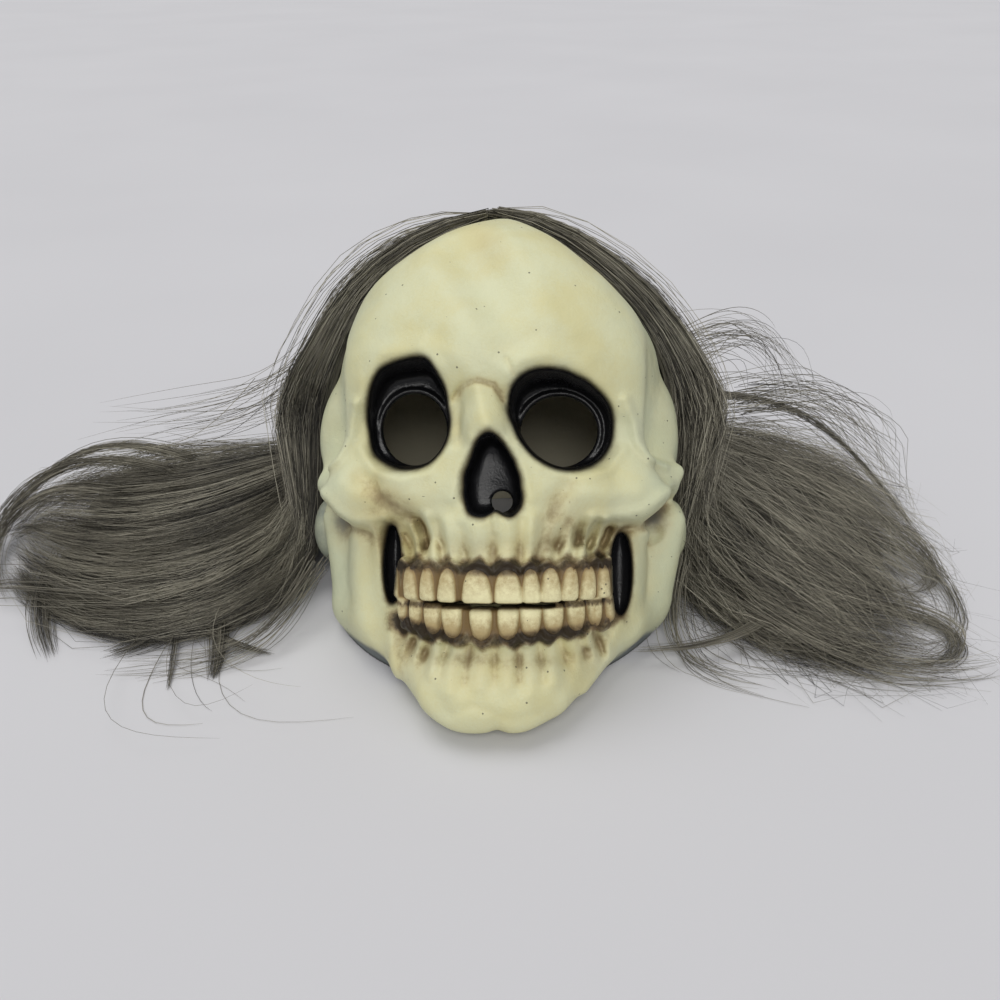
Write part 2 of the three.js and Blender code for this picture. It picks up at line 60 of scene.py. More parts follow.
# Driving sizes, as in the solids
CHEEK_WIDTH = 0.214
FACE_REACH = 0.108
MASK_HEIGHT = 0.286
WALL = 0.0026
LEAN = math.radians(30)
MIDDLE_HEIGHT = 0.092
FRONT_OF_MIDDLE = 0.1623  # from the chin's front to the middle of the head, on the table
SOCKET_DEPTH = 0.030
GAP_DEPTH = 0.020
NOSE_DEPTH = 0.024
NOSTRIL_RADIUS = 0.0055
SLIT_HEIGHT = 0.0018
SLIT_WIDTH = 0.050
TOOTH_HEIGHT = 0.020
TOOTH_DEPTH = 0.019
GUM_BEHIND = 0.0032  # how far the gum lies behind the front of the crowns
FAR = 0.05  # a distance for places that are nowhere near the piece

HALF = np.array([CHEEK_WIDTH / 2, FACE_REACH, MASK_HEIGHT / 2])
HALF_WIDTH = HALF[0]
skull_low, skull_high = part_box("skull_shell")
HEAD = np.array([(skull_low.x + skull_high.x) / 2, skull_low.y + FRONT_OF_MIDDLE, 0])


def table(columns, rows):
    """Rows of values as dictionaries with the named columns."""
    return [dict(zip(columns, row)) for row in rows]


# Rounded forms of the skull. Places and radii are shares of the half sizes. A row with a middle
# is made twice, mirrored about a plane at that share of the half width.
FORMS = table(("name", "middle", "place", "radii", "blend"), [
    ("cranium", None, (0, 0.14, 0.14), (0.915, 0.98, 0.8), 0),
    ("neck", None, (0, 0.28, -0.52), (0.98, 0.95, 0.84), 0.08),
    ("forehead", None, (0, -0.34, 0.36), (0.7, 0.44, 0.42), 0.2),
    ("glabella", None, (0, -0.76, 0.24), (0.22, 0.1, 0.1), 0.12),
    ("midface", None, (0.02, -0.44, -0.2), (0.6, 0.38, 0.28), 0.1),
    ("maxilla", None, (0.05, -0.6, -0.33), (0.4, 0.35, 0.2), 0.12),
    ("cheekbone", 0.01, (0.6, -0.57, -0.23), (0.26, 0.145, 0.105), 0.14),
    ("under_eye", 0.01, (0.36, -0.73, -0.21), (0.2, 0.13, 0.09), 0.12),
    ("temporal", 0, (0.87, 0.06, 0.0), (0.13, 0.3, 0.22), 0.12),
    ("mastoid", 0, (0.97, 0.11, -0.37), (0.09, 0.13, 0.13), 0.06),
    ("lower_root_wall", None, (0.05, -0.68, -0.8), (0.37, 0.175, 0.15), 0.08),
    ("chin", None, (0.01, -0.83, -0.925), (0.31, 0.14, 0.12), 0.11),
    ("chin_lobe", 0, (0.12, -0.87, -0.99), (0.12, 0.08, 0.065), 0.12),
])

# Bars of bone between two places, with a radius at each end as a share of the half width.
BARS = table(("name", "middle", "start", "end", "radii", "blend"), [
    ("brow", 0, (0.13, -0.72, 0.31), (0.58, -0.52, 0.29), (0.1, 0.08), 0.3),
    ("orbit_rim", 0, (0.65, -0.49, 0.22), (0.67, -0.5, -0.12), (0.08, 0.09), 0.16),
    ("nose_bridge", -0.015, (0, -0.78, 0.14), (0, -0.91, 0.01), (0.08, 0.06), 0.09),
    ("nose_side", 0.01, (0.07, -0.84, 0.03), (0.2, -0.8, -0.18), (0.06, 0.07), 0.1),
    ("arch", 0, (0.66, -0.54, -0.2), (0.91, -0.2, -0.19), (0.1, 0.06), 0.14),
    ("right_ramus_edge", None, (0.93, -0.2, -0.33), (0.84, -0.2, -0.62), (0.075, 0.09), 0.08),
    ("right_arch_wing", None, (0.74, -0.36, -0.12), (0.97, -0.2, -0.12), (0.045, 0.028), 0.1),
    ("ramus_back", 0.01, (0.87, -0.15, -0.33), (0.78, -0.15, -0.66), (0.09, 0.1), 0.1),
    ("ramus_front", 0.03, (0.68, -0.4, -0.34), (0.64, -0.41, -0.7), (0.075, 0.08), 0.2),
    ("jaw_corner", 0.01, (0.77, -0.19, -0.68), (0.54, -0.44, -0.75), (0.1, 0.1), 0.1),
    ("jaw_body", 0.02, (0.48, -0.46, -0.79), (0.24, -0.78, -0.92), (0.12, 0.14), 0.07),
    ("upper_gum", 0.07, (0, -0.85, -0.49), (0.33, -0.75, -0.49), (0.1, 0.1), 0.06),
    ("upper_gum_end", 0.07, (0.33, -0.75, -0.49), (0.5, -0.53, -0.48), (0.1, 0.08), 0.06),
    ("lower_gum", 0.06, (0, -0.82, -0.73), (0.32, -0.72, -0.71), (0.1, 0.1), 0.06),
    ("lower_gum_end", 0.06, (0.32, -0.72, -0.71), (0.49, -0.5, -0.68), (0.1, 0.08), 0.06),
])

# Hollows cut as bars with a soft edge.
HOLLOWS = table(("name", "middle", "start", "end", "radii", "blend"), [
    ("temple", 0, (1.0, -0.5, 0.26), (0.99, -0.4, 0), (0.2, 0.2), 0.1),
    ("under_cheek", 0.03, (0.56, -1, -0.42), (0.56, -0.72, -0.41), (0.14, 0.1), 0.08),
    ("left_jaw_notch", None, (-0.84, -0.42, -0.3), (-0.81, -0.34, -0.37), (0.055, 0.045), 0.02),
    ("right_jaw_notch", None, (0.84, -0.5, -0.31), (0.84, -0.3, -0.37), (0.06, 0.035), 0.04),
    ("forehead_dent", None, (-0.15, -0.68, 0.74), (0.12, -0.98, 0.4), (0.12, 0.1), 0.16),
])

# Flats on the forehead: the way each one faces and how far out it lies, in millimetres.
FLATS = table(("name", "facing", "out", "blend"), [
    ("right_top", (0.64, -0.1, 0.76), 112.5, 0.12),
    ("left_top", (-0.5, -0.1, 0.86), 122, 0.12),
])

# Teeth from left to right: where along the half row, how wide, and how far lifted.
TOOTH_COLUMNS = ("at", "width", "lift")
UPPER_TEETH = table(TOOTH_COLUMNS, [
    (-0.95, 0.12, 0.02), (-0.79, 0.14, 0.02), (-0.64, 0.14, 0.02), (-0.47, 0.16, 0.01),
    (-0.22, 0.25, 0), (0.04, 0.23, 0.01), (0.23, 0.15, 0.02), (0.39, 0.17, 0.04),
    (0.55, 0.15, 0.07), (0.7, 0.14, 0.08), (0.83, 0.13, 0.1), (0.95, 0.12, 0.12),
])
LOWER_TEETH = table(TOOTH_COLUMNS, [
    (-0.88, 0.11, 0.28), (-0.76, 0.13, 0.16), (-0.61, 0.16, 0.06), (-0.44, 0.18, 0),
    (-0.19, 0.19, -0.03), (0.04, 0.18, 0), (0.23, 0.18, 0.06), (0.42, 0.18, 0.12),
    (0.61, 0.17, 0.18), (0.77, 0.14, 0.26), (0.91, 0.13, 0.34),
])
ROWS = table(
    ("name", "teeth", "middle", "height", "reach", "half_row", "up", "crown", "taper", "arch", "fill"),
    [
        ("upper", UPPER_TEETH, 0.07, -0.535, 0.915, 0.52, 1, 0.0176, 0.38, 6, 1.16),
        ("lower", LOWER_TEETH, 0.07, -0.69, 0.885, 0.51, -1, 0.0158, 0.22, 4.5, 1.14),
    ],
)

# Outlines of the hollows, each as radii in millimetres at angles round its middle, from the right
# over the top. Middles and eye holes are shares, as above.
LEFT_SOCKET = {
    10: 21, 51: 25, 68: 28.8, 80: 28, 90: 27, 104: 26.6, 118: 27.2, 132: 25.8, 162: 22.6,
    200: 22.9, 226: 27.4, 263: 27.2, 293: 27.1, 340: 22.9,
}
RIGHT_SOCKET = {
    13: 25.2, 43: 21.5, 73: 20.6, 103: 22.9, 134: 27, 150: 28, 173: 27, 192: 24,
    219: 23.4, 246: 24.2, 290: 27.2, 313: 28.8, 332: 28.4, 348: 26.8,
}
NOSE_OUTLINE = {
    352: 14.6, 30: 14.3, 62: 17.6, 80: 22.5, 91: 24.6, 104: 22.5, 124: 16.8, 143: 14.3, 188: 13.6,
    220: 16.6, 236: 19, 258: 17.6, 281: 13.6, 301: 20.2, 322: 19.4,
}
SOCKETS = table(("middle", "outline", "hole"), [
    ((-0.416, 0.063), LEFT_SOCKET, (-0.41, 0.025, 0.165, 0.138)),
    ((0.346, 0.056), RIGHT_SOCKET, (0.33, 0.018, 0.195, 0.136)),
])
CHEEK_GAPS = [(-0.51, -0.49, 0.045, 0.15), (0.645, -0.52, 0.055, 0.16)]
NOSE_MIDDLE = (0.005, -0.182)
SOCKET_RIM = -0.74
GAP_RIM = -0.62
NOSE_RIM = -0.9
NOSTRIL = (0.05, -0.25)
SLIT = (0.08, -0.612)

# Relief modelled on the face: a path over it in x and z, how wide and how far it is raised or
# sunk, all in millimetres, and how much brown paint lies in it.
RELIEF_COLUMNS = ("name", "path", "width", "lift", "brown")
RELIEF = table(RELIEF_COLUMNS, [
    ("left_cheek_edge", [(-93, -31), (-83, -42), (-73, -47), (-57, -45)], 3.6, 1.8, 0),
    ("left_under_edge", [(-90, -38), (-80, -50), (-68, -54)], 3.6, -1.6, 0.35),
    ("left_cheek_body", [(-80, -26), (-64, -34)], 6, 1.0, 0),
    ("left_cheek_hollow", [(-70, -24), (-57, -33), (-45, -39), (-37, -50)], 5.2, -2.0, 0.3),
    ("left_lower_rim", [(-71, -8), (-62, -20), (-46, -25), (-31, -21), (-22, -9)], 3.2, 1.3, 0),
    ("left_canine_valley", [(-38, -46), (-33, -55), (-36, -64)], 3, -1.6, 0.5),
    ("right_cheek_edge", [(55, -43), (72, -42), (80, -40), (92, -31), (98, -26)], 3.6, 1.8, 0),
    ("right_under_edge", [(62, -50), (80, -49), (93, -38)], 3.6, -1.6, 0.35),
    ("right_cheek_body", [(46, -29), (62, -33), (76, -30)], 5.5, 1.2, 0),
    ("right_cheek_hollow", [(42, -26), (33, -35), (29, -46), (31, -57)], 5, -2.0, 0.3),
    ("right_lower_rim", [(69, -8), (61, -19), (45, -24), (27, -18), (14, -4)], 3.2, 1.3, 0),
    ("right_canine_valley", [(41, -46), (46, -56)], 3, -1.2, 0.3),
    ("nose_ridge", [(-6, 20), (-4, 11), (-1, 3)], 4.6, 2.2, 0),
    ("nose_left_side", [(-17, 19), (-18, 6), (-15, -6)], 3.4, -1.7, 0.12),
    ("nose_right_side", [(6, 19), (9, 7), (13, -3)], 3.2, -1.5, 0.12),
    ("nasion_crease", [(-19, 17), (-14, 23), (-7, 25), (2, 23), (6, 16)], 2.0, -1.3, 0.45),
    ("nose_left_rim", [(-9, -5), (-16, -20), (-19, -34)], 3, 1.1, 0),
    ("nose_right_rim", [(9, -6), (17, -20), (21, -34)], 3, 1.1, 0),
    ("nose_spine", [(3, -41), (3, -50)], 2, 1.8, 0),
    ("left_brow", [(-71, 16), (-68, 27), (-57, 40), (-37, 41), (-27, 32)], 4.6, 1.7, 0),
    ("over_left_brow", [(-62, 50), (-40, 53), (-24, 44)], 6, -0.9, 0.12),
    ("right_brow", [(10, 28), (16, 35), (31, 38), (47, 33), (60, 24), (68, 12)], 4.6, 1.6, 0),
    ("over_right_brow", [(6, 40), (24, 50), (46, 46)], 6, -0.9, 0.12),
    ("brow_fold", [(8, 36), (12, 28)], 1.4, -0.8, 0.3),
    ("brow_mid_rise", [(-34, 46), (-20, 39), (-9, 28)], 5, 1.0, 0),
    ("left_orbit_side", [(-74, 16), (-77, -2), (-84, -13), (-92, -18)], 3.2, 2.2, 0),
    ("right_orbit_side", [(70, 18), (75, 6), (77, -4), (84, -12), (96, -15)], 3.2, 2.2, 0),
    ("left_jaw_edge", [(-63, -52), (-60, -77), (-57, -92), (-54, -109), (-52, -130)], 4, 2.0, 0),
    ("left_jaw_valley", [(-70, -58), (-68, -86), (-64, -108)], 4.5, -1.2, 0.1),
    ("right_jaw_edge", [(73, -56), (76, -67), (75, -84), (69, -97), (60, -122), (50, -134)], 4, 1.8, 0),
    ("right_jaw_valley", [(84, -60), (84, -84), (76, -104)], 4.5, -1.2, 0.1),
    ("chin_fold", [(-18, -141), (-7, -137), (2, -140), (13, -144), (25, -141)], 2.6, -0.6, 0.12),
    ("chin_notch", [(4, -146), (5, -155)], 4, -1.0, 0.05),
    ("left_chin_side", [(-34, -118), (-28, -132), (-20, -142)], 5, -1.0, 0.05),
    ("right_chin_side", [(42, -116), (36, -130), (30, -140)], 5, -1.0, 0.05),
])


def length(v):
    """Length of each vector."""
    return np.sqrt(np.einsum("...i,...i->...", v, v))


def soft_lower(a, b, reach):
    """The lower of two distances, rounded over a reach where they meet."""
    if reach <= 0:
        return np.minimum(a, b)
    h = np.maximum(reach - np.abs(a - b), 0) / reach
    return np.minimum(a, b) - h * h * reach / 4


def soft_cut(body, tool, reach):
    """A body's distance with a tool cut out of it, rounded at the edge."""
    return -soft_lower(-body, tool, reach)


def smooth(low, high, value):
    """0 below low, 1 above high and smooth between them; low may be the higher one."""
    t = np.clip((value - low) / (high - low), 0, 1)
    return t * t * (3 - 2 * t)


def spot(row, key, side):
    """A place of a row in metres, on the chosen side of the row's middle."""
    x, y, z = row[key]
    return np.array([(row["middle"] or 0) + x * side, y, z]) * HALF


def form_distance(p, row, side):
    """Distance to a rounded form."""
    radii = np.array(row["radii"]) * HALF
    q = (p - spot(row, "place", side)) / radii
    near = length(q)
    slope = np.maximum(length(q / radii), 1e-6)
    return near * (near - 1) / slope


def bar_distance(p, row, side):
    """Distance to a round bar with a radius at each end."""
    start, end = spot(row, "start", side), spot(row, "end", side)
    first, last = (radius * HALF_WIDTH for radius in row["radii"])
    along = end - start
    q = p - start
    t = np.clip(q @ along / (along @ along), 0, 1)
    return length(q - t[..., None] * along) - (first + (last - first) * t)


def bone_distance(p):
    """Distance to the outside of the skull before teeth and openings."""
    d = np.full(len(p), 1.0)
    kinds = (
        (FORMS, form_distance, soft_lower),
        (BARS, bar_distance, soft_lower),
        (HOLLOWS, bar_distance, soft_cut),
    )
    for rows, distance, join in kinds:
        for row in rows:
            for side in (1,) if row["middle"] is None else (1, -1):
                d = join(d, distance(p, row, side), row["blend"] * HALF_WIDTH)
    for row in FLATS:
        facing = np.array(row["facing"]) / np.linalg.norm(row["facing"])
        d = soft_cut(d, row["out"] / 1000 - p @ facing, row["blend"] * HALF_WIDTH)
    return d


# A row of teeth follows part of an oval: its depth as a share of the reach, and where it would end
# as a share of the half row.
ROW_DEPTH = 0.52
ROW_END = 1.16


def row_curve(row, at):
    """How far forward the row's curve lies at shares of its half length, and how steep it is."""
    half_row = row["half_row"] * HALF_WIDTH
    across = row["reach"] * FACE_REACH
    bend = np.sqrt(np.maximum(1 - (at / ROW_END) ** 2, 0.05))
    y = -across * (1 - ROW_DEPTH + ROW_DEPTH * bend)
    return y, ROW_DEPTH * across * at / (ROW_END**2 * half_row * bend)


def tooth_place(row, at):
    """A point on the row's curve, and the turn of a tooth that stands there."""
    x = (row["middle"] + at * row["half_row"]) * HALF_WIDTH
    y, slope = row_curve(row, at)
    return x, y, math.atan(slope)


def tooth_distance(p, row, tooth):
    """Distance to a crown: narrow at the gum, wide and rounded at the biting edge."""
    x, y, turn = tooth_place(row, tooth["at"])
    spare = TOOTH_HEIGHT - row["crown"]
    z = row["height"] * HALF[2] + tooth["lift"] * TOOTH_HEIGHT - row["up"] * spare / 2
    stretch = math.hypot(1, math.tan(turn) * 0.6) * row["fill"]
    wide = tooth["width"] * row["half_row"] * HALF_WIDTH * stretch
    half = np.array([wide, TOOTH_DEPTH, row["crown"]]) / 2
    q = p - np.array([x, y, z])
    cos, sin = math.cos(turn), math.sin(turn)
    across = q[:, 0] * cos + q[:, 1] * sin
    deep = -q[:, 0] * sin + q[:, 1] * cos
    high = q[:, 2] * row["up"]
    # the crown narrows towards the gum and ends there in an arch, and its front is bowed
    rise = np.clip(high / half[2], -1, 1)
    to_gum = 0.5 + 0.5 * rise
    arch = np.sqrt(np.clip(1.03 - to_gum ** row["arch"], 0.03, 1))
    narrow = (1 - row["taper"] * to_gum**1.4) * arch
    lean_over = 0.07 * math.sin(31 * tooth["at"] + row["up"])
    across = across + lean_over * high
    deep = deep - 0.0009 * rise**2 - 24 * across**2
    corner = 0.0024
    inner = np.stack(
        [
            np.abs(across) - (half[0] * narrow - corner),
            np.abs(deep) - (half[1] - corner),
            np.abs(high) - (half[2] - corner),
        ],
        axis=1,
    )
    outside = length(np.maximum(inner, 0))
    return outside + np.minimum(inner.max(axis=1), 0) - corner


def near_row(p, row):
    """Which points are near a row of teeth and its roots."""
    middle = row["middle"] * HALF_WIDTH
    reach = row["half_row"] * HALF_WIDTH + 0.012
    z = row["height"] * HALF[2]
    near = (np.abs(p[:, 0] - middle) < reach) & (p[:, 1] < -0.035) & (np.abs(p[:, 2] - z) < 0.055)
    return np.nonzero(near)[0]


def teeth_distance(p):
    d = np.full(len(p), FAR)
    for row in ROWS:
        index = near_row(p, row)
        if len(index) == 0:
            continue
        local = p[index]
        for tooth in row["teeth"]:
            x = tooth_place(row, tooth["at"])[0]
            close = np.abs(local[:, 0] - x) < 0.016
            part = index[close]
            d[part] = np.minimum(d[part], tooth_distance(local[close], row, tooth))
    return d


def row_line(row, x, key):
    """A value of the teeth in a row, carried along between them."""
    places = [tooth_place(row, tooth["at"])[0] for tooth in row["teeth"]]
    return np.interp(x, places, [tooth[key] for tooth in row["teeth"]])


def gum_wall(p):
    """The gum that fills the row between and behind the crowns."""
    d = np.full(len(p), FAR)
    for row in ROWS:
        index = near_row(p, row)
        x, y, z = p[index].T
        half_row = row["half_row"] * HALF_WIDTH
        off_middle = x - row["middle"] * HALF_WIDTH
        middle_y, slope = row_curve(row, np.clip(off_middle / half_row, -1.1, 1.1))
        middle_z = row["height"] * HALF[2] + row_line(row, x, "lift") * TOOTH_HEIGHT
        deep = np.abs(y - middle_y) / np.hypot(1, slope) - (TOOTH_DEPTH / 2 - GUM_BEHIND)
        tall = np.abs(z - middle_z) - TOOTH_HEIGHT * 0.46
        wide = np.abs(off_middle) - half_row
        corner = 0.002
        box = np.stack([deep, tall, wide], axis=1) + corner
        wall = length(np.maximum(box, 0)) + np.minimum(box.max(axis=1), 0) - corner
        d[index] = np.minimum(d[index], wall)
    return d


def gum_height(row, lift):
    """Where the crowns end at the gum, from how far a tooth is lifted."""
    return row["height"] * HALF[2] + lift * TOOTH_HEIGHT + row["up"] * (row["crown"] - TOOTH_HEIGHT / 2)


def tooth_relief():
    """Ridges of the roots, valleys between them and the raised rim of gum round each crown."""
    rows = []
    for row in ROWS:
        up = row["up"]
        places = []
        for tooth in row["teeth"]:
            x = tooth_place(row, tooth["at"])[0] * 1000
            wide = tooth["width"] * row["half_row"] * HALF_WIDTH * 1000
            out = (x - row["middle"] * HALF_WIDTH * 1000) * 0.12
            tall = (25 if up > 0 else 24) * (1 - 0.35 * abs(tooth["at"]))
            tall *= 1 + 0.2 * math.sin(9.1 * tooth["at"] + up)
            gum_z = gum_height(row, tooth["lift"]) * 1000 + up * 1.5
            places.append((x, gum_z, out, tall, tooth["at"]))
            ridge = [
                (x, gum_z + up * 3),
                (x + out * 0.6, gum_z + up * tall * 0.55),
                (x + out, gum_z + up * tall),
            ]
            rows.append(("root", ridge, max(wide * 0.38, 2.2), 1.6 if up > 0 else 1.3, 0))
            arc = ((-0.5, -3.5), (-0.34, 0), (0, 1.6), (0.34, 0), (0.5, -3.5))
            rim = [(x + wide * share, gum_z + up * rise) for share, rise in arc]
            rows.append(("gum_rim", rim, 0.9, 1.0, 0))
        for (x1, z1, out1, tall1, at), (x2, z2, out2, tall2, _) in zip(places, places[1:]):
            x, z, tall = (x1 + x2) / 2, (z1 + z2) / 2, min(tall1, tall2)
            valley = [(x, z + up * 2), (x + (out1 + out2) / 2, z + up * tall * 0.95)]
            brown = (0.22 + 0.14 * math.sin(x * 0.31 + up * 1.7)) * (1 - 0.5 * abs(at))
            width, lift = (2.6, -1.1) if up > 0 else (2.1, -0.9)
            rows.append(("root_valley", valley, width, lift, brown))
    return table(RELIEF_COLUMNS, rows)


ALL_RELIEF = RELIEF + tooth_relief()
RELIEF_GAIN = 1.3  # how much bolder the modelling is than the heights in the table


def relief_fields(p, bone):
    """How far the relief raises the face at each point, and how much brown lies in it."""
    lift, brown = np.zeros(len(p)), np.zeros(len(p))
    front = np.nonzero((p[:, 1] < -0.015) & (np.abs(bone) < 0.02))[0]
    x, y, z = p[front].T * 1000
    fade = smooth(-18, -34, y)
    for row in ALL_RELIEF:
        path = np.array(row["path"], float)
        reach = row["width"] * 2.2
        low, high = path.min(axis=0) - reach, path.max(axis=0) + reach
        close = np.nonzero((x > low[0]) & (x < high[0]) & (z > low[1]) & (z < high[1]))[0]
        if len(close) == 0:
            continue
        q = np.stack([x[close], z[close]], axis=1)
        nearest = np.full(len(close), 1e9)
        for start, end in zip(path, path[1:]):
            along = end - start
            t = np.clip((q - start) @ along / (along @ along), 0, 1)
            nearest = np.minimum(nearest, length(q - start - t[:, None] * along))
        soft = np.exp(-((nearest / row["width"]) ** 2)) * fade[close]
        lift[front[close]] += RELIEF_GAIN * row["lift"] * soft / 1000
        brown[front[close]] = np.maximum(brown[front[close]], row["brown"] * soft)
    return lift, brown


def unevenness(p):
    """Slow, low waves, as a hand-made casting has."""
    waves = np.sin(61 * p[:, 0] + 2.1) * np.sin(47 * p[:, 2] + 0.6 + 20 * p[:, 0])
    cross = np.sin(113 * p[:, 2] - 90 * p[:, 0] + 1.3) * np.sin(97 * p[:, 0] + 60 * p[:, 1])
    waves = waves + 0.6 * cross
    return 0.00035 * waves


def outline_distance(x, z, middle, outline, share):
    """Flat distance to an outline given by its radii at angles round a middle."""
    qx, qz = x - middle[0] * HALF[0], z - middle[1] * HALF[2]
    angle = np.degrees(np.arctan2(qz, qx))
    angles = sorted(outline)
    fine = np.arange(0, 360, 3.0)
    radii = np.interp(fine, angles, [outline[a] for a in angles], period=360)
    for _ in range(3):
        radii = 0.25 * np.roll(radii, 1) + 0.5 * radii + 0.25 * np.roll(radii, -1)
    radius = np.interp(angle, fine, radii, period=360) / 1000
    return 0.92 * (np.hypot(qx, qz) - radius * share)


def oval_distance(x, z, oval, share=1.0):
    """Flat distance to an oval given by its middle and radii."""
    cx, cz, rx, rz = oval[0] * HALF[0], oval[1] * HALF[2], oval[2] * HALF[0], oval[3] * HALF[2]
    qx, qz = (x - cx) / (rx * share), (z - cz) / (rz * share)
    near = np.sqrt(qx**2 + qz**2)
    slope = np.maximum(np.sqrt((qx / (rx * share)) ** 2 + (qz / (rz * share)) ** 2), 1e-6)
    return near * (near - 1) / slope


def pocket_distance(p, flat_distance, rim, depth, mouth, foot):
    """A pocket in the face that opens to the front, with a rounded floor."""
    y = p[:, 1]
    front = -1.3 * FACE_REACH
    rim_y = rim * FACE_REACH
    share = np.interp(y, [front, rim_y, rim_y + depth], [mouth, 1, foot])
    flat = flat_distance(p[:, 0], p[:, 2], share)
    return -soft_lower(-flat, -(y - rim_y - depth), 0.006)


def pockets(p):
    """Distances to each pocket, with how softly its rim is rounded."""
    for socket in SOCKETS:
        middle, outline = socket["middle"], socket["outline"]
        flat = lambda x, z, share: outline_distance(x, z, middle, outline, share)
        yield pocket_distance(p, flat, SOCKET_RIM, SOCKET_DEPTH, 1.12, 0.94), 0.006
    flat = lambda x, z, share: outline_distance(x, z, NOSE_MIDDLE, NOSE_OUTLINE, share)
    yield pocket_distance(p, flat, NOSE_RIM, NOSE_DEPTH, 1.08, 0.88), 0.0035
    for gap in CHEEK_GAPS:
        flat = lambda x, z, share: oval_distance(x, z, gap, share)
        yield pocket_distance(p, flat, GAP_RIM, GAP_DEPTH, 1, 0.92), 0.004


def eye_lips(p):
    """The raised ring round each eye hole, on the socket's floor."""
    d = np.full(len(p), FAR)
    floor = SOCKET_RIM * FACE_REACH + SOCKET_DEPTH
    for socket in SOCKETS:
        flat = oval_distance(p[:, 0], p[:, 2], socket["hole"])
        ring = np.sqrt((flat - 0.0014) ** 2 + (p[:, 1] - floor + 0.0008) ** 2) - 0.0019
        d = np.minimum(d, ring)
    return d


def above_table(p):
    """Height of each point of the skull's frame over the table."""
    return -p[:, 1] * math.sin(LEAN) + p[:, 2] * math.cos(LEAN) + MIDDLE_HEIGHT


def cut_openings(shell, p):
    """The shell with the eye holes, the nostril, the slit and all that is under the table cut away."""
    floor = SOCKET_RIM * FACE_REACH + SOCKET_DEPTH
    for socket in SOCKETS:
        flat = oval_distance(p[:, 0], p[:, 2], socket["hole"])
        tunnel = np.maximum(flat, np.abs(p[:, 1] - floor) - 0.016)
        shell = soft_cut(shell, tunnel, 0.001)
    nostril = np.hypot(p[:, 0] - NOSTRIL[0] * HALF[0], p[:, 2] - NOSTRIL[1] * HALF[2])
    nostril = nostril - NOSTRIL_RADIUS
    nostril = np.maximum(nostril, np.abs(p[:, 1] + 0.6 * FACE_REACH) - 0.024)
    shell = soft_cut(shell, nostril, 0.001)
    slit_x = np.abs(p[:, 0] - SLIT[0] * HALF[0]) - SLIT_WIDTH / 2
    gape = np.exp(-(((p[:, 0] + 0.0055) / 0.005) ** 2)) + np.exp(-(((p[:, 0] - 0.027) / 0.008) ** 2))
    slit_z = np.abs(p[:, 2] - SLIT[1] * HALF[2]) - 0.0003 - SLIT_HEIGHT * 0.5 * gape
    slit = np.maximum(np.maximum(slit_x, slit_z), p[:, 1] + 0.5 * FACE_REACH)
    shell = soft_cut(shell, slit, 0.0008)
    return soft_cut(shell, above_table(p), 0.001)


def skull_fields(p):
    """The shell's distance, and the distances that tell its parts and paints apart."""
    bone = bone_distance(p)
    lift, brown = relief_fields(p, bone)
    skin = soft_lower(bone, gum_wall(p), 0.003) - lift + unevenness(p)
    teeth = teeth_distance(p)
    body = soft_lower(skin, teeth, 0.0009)
    solid = body.copy()
    hollow = bone + WALL + 1.2 * np.maximum(-lift, 0)
    pocket_near = np.full(len(p), FAR)
    for pocket, rounding in pockets(p):
        pocket_near = np.minimum(pocket_near, pocket)
        body = soft_cut(body, pocket, rounding)
        hollow = np.maximum(hollow, WALL - pocket)
    body = soft_lower(body, eye_lips(p), 0.0012)
    shell = np.maximum(body, -hollow)
    shell = cut_openings(shell, p)
    return dict(
        shell=shell, skin=skin, teeth=teeth, solid=solid, hollow=hollow, brown=brown, pocket=pocket_near
    )


def in_chunks(p, keys, size=400000):
    """Chosen skull fields at many points, worked out a piece at a time."""
    parts = [skull_fields(p[i : i + size]) for i in range(0, len(p), size)]
    return [np.concatenate([part[key] for part in parts]) for key in keys]


def to_table(p):
    """Points of the skull's frame in the part's frame."""
    cos, sin = math.cos(LEAN), math.sin(LEAN)
    y = p[:, 1] * cos + p[:, 2] * sin
    z = -p[:, 1] * sin + p[:, 2] * cos + MIDDLE_HEIGHT
    return np.stack([p[:, 0], y, z], axis=1) + HEAD


def new_mesh(name, vertices, quads, triangles):
    """A mesh object from arrays of vertices and faces, shaded smooth."""
    mesh = bpy.data.meshes.new(name)
    corners = np.concatenate([quads.ravel(), triangles.ravel()]).astype(np.int32)
    starts = np.concatenate([np.arange(len(quads)) * 4, len(quads) * 4 + np.arange(len(triangles)) * 3])
    mesh.vertices.add(len(vertices))
    mesh.vertices.foreach_set("co", vertices.astype(np.float32).ravel())
    mesh.loops.add(len(corners))
    mesh.loops.foreach_set("vertex_index", corners)
    mesh.polygons.add(len(starts))
    mesh.polygons.foreach_set("loop_start", starts.astype(np.int32))
    mesh.update(calc_edges=True)
    mesh.validate()
    mesh.shade_smooth()
    piece = bpy.data.objects.new(name, mesh)
    bpy.context.collection.objects.link(piece)
    return piece


def store(piece, name, values):
    """A value for each vertex, which the materials read by its name."""
    attribute = piece.data.attributes.new(name, "FLOAT", "POINT")
    attribute.data.foreach_set("value", values.astype(np.float32))


def decimate(piece, ratio):
    """Thins a piece's faces to a share of their number."""
    bpy.ops.object.select_all(action="DESELECT")
    piece.select_set(True)
    bpy.context.view_layer.objects.active = piece
    modifier = piece.modifiers.new("Decimate", "DECIMATE")
    modifier.ratio = ratio
    bpy.ops.object.modifier_apply(modifier=modifier.name)
    piece.select_set(False)


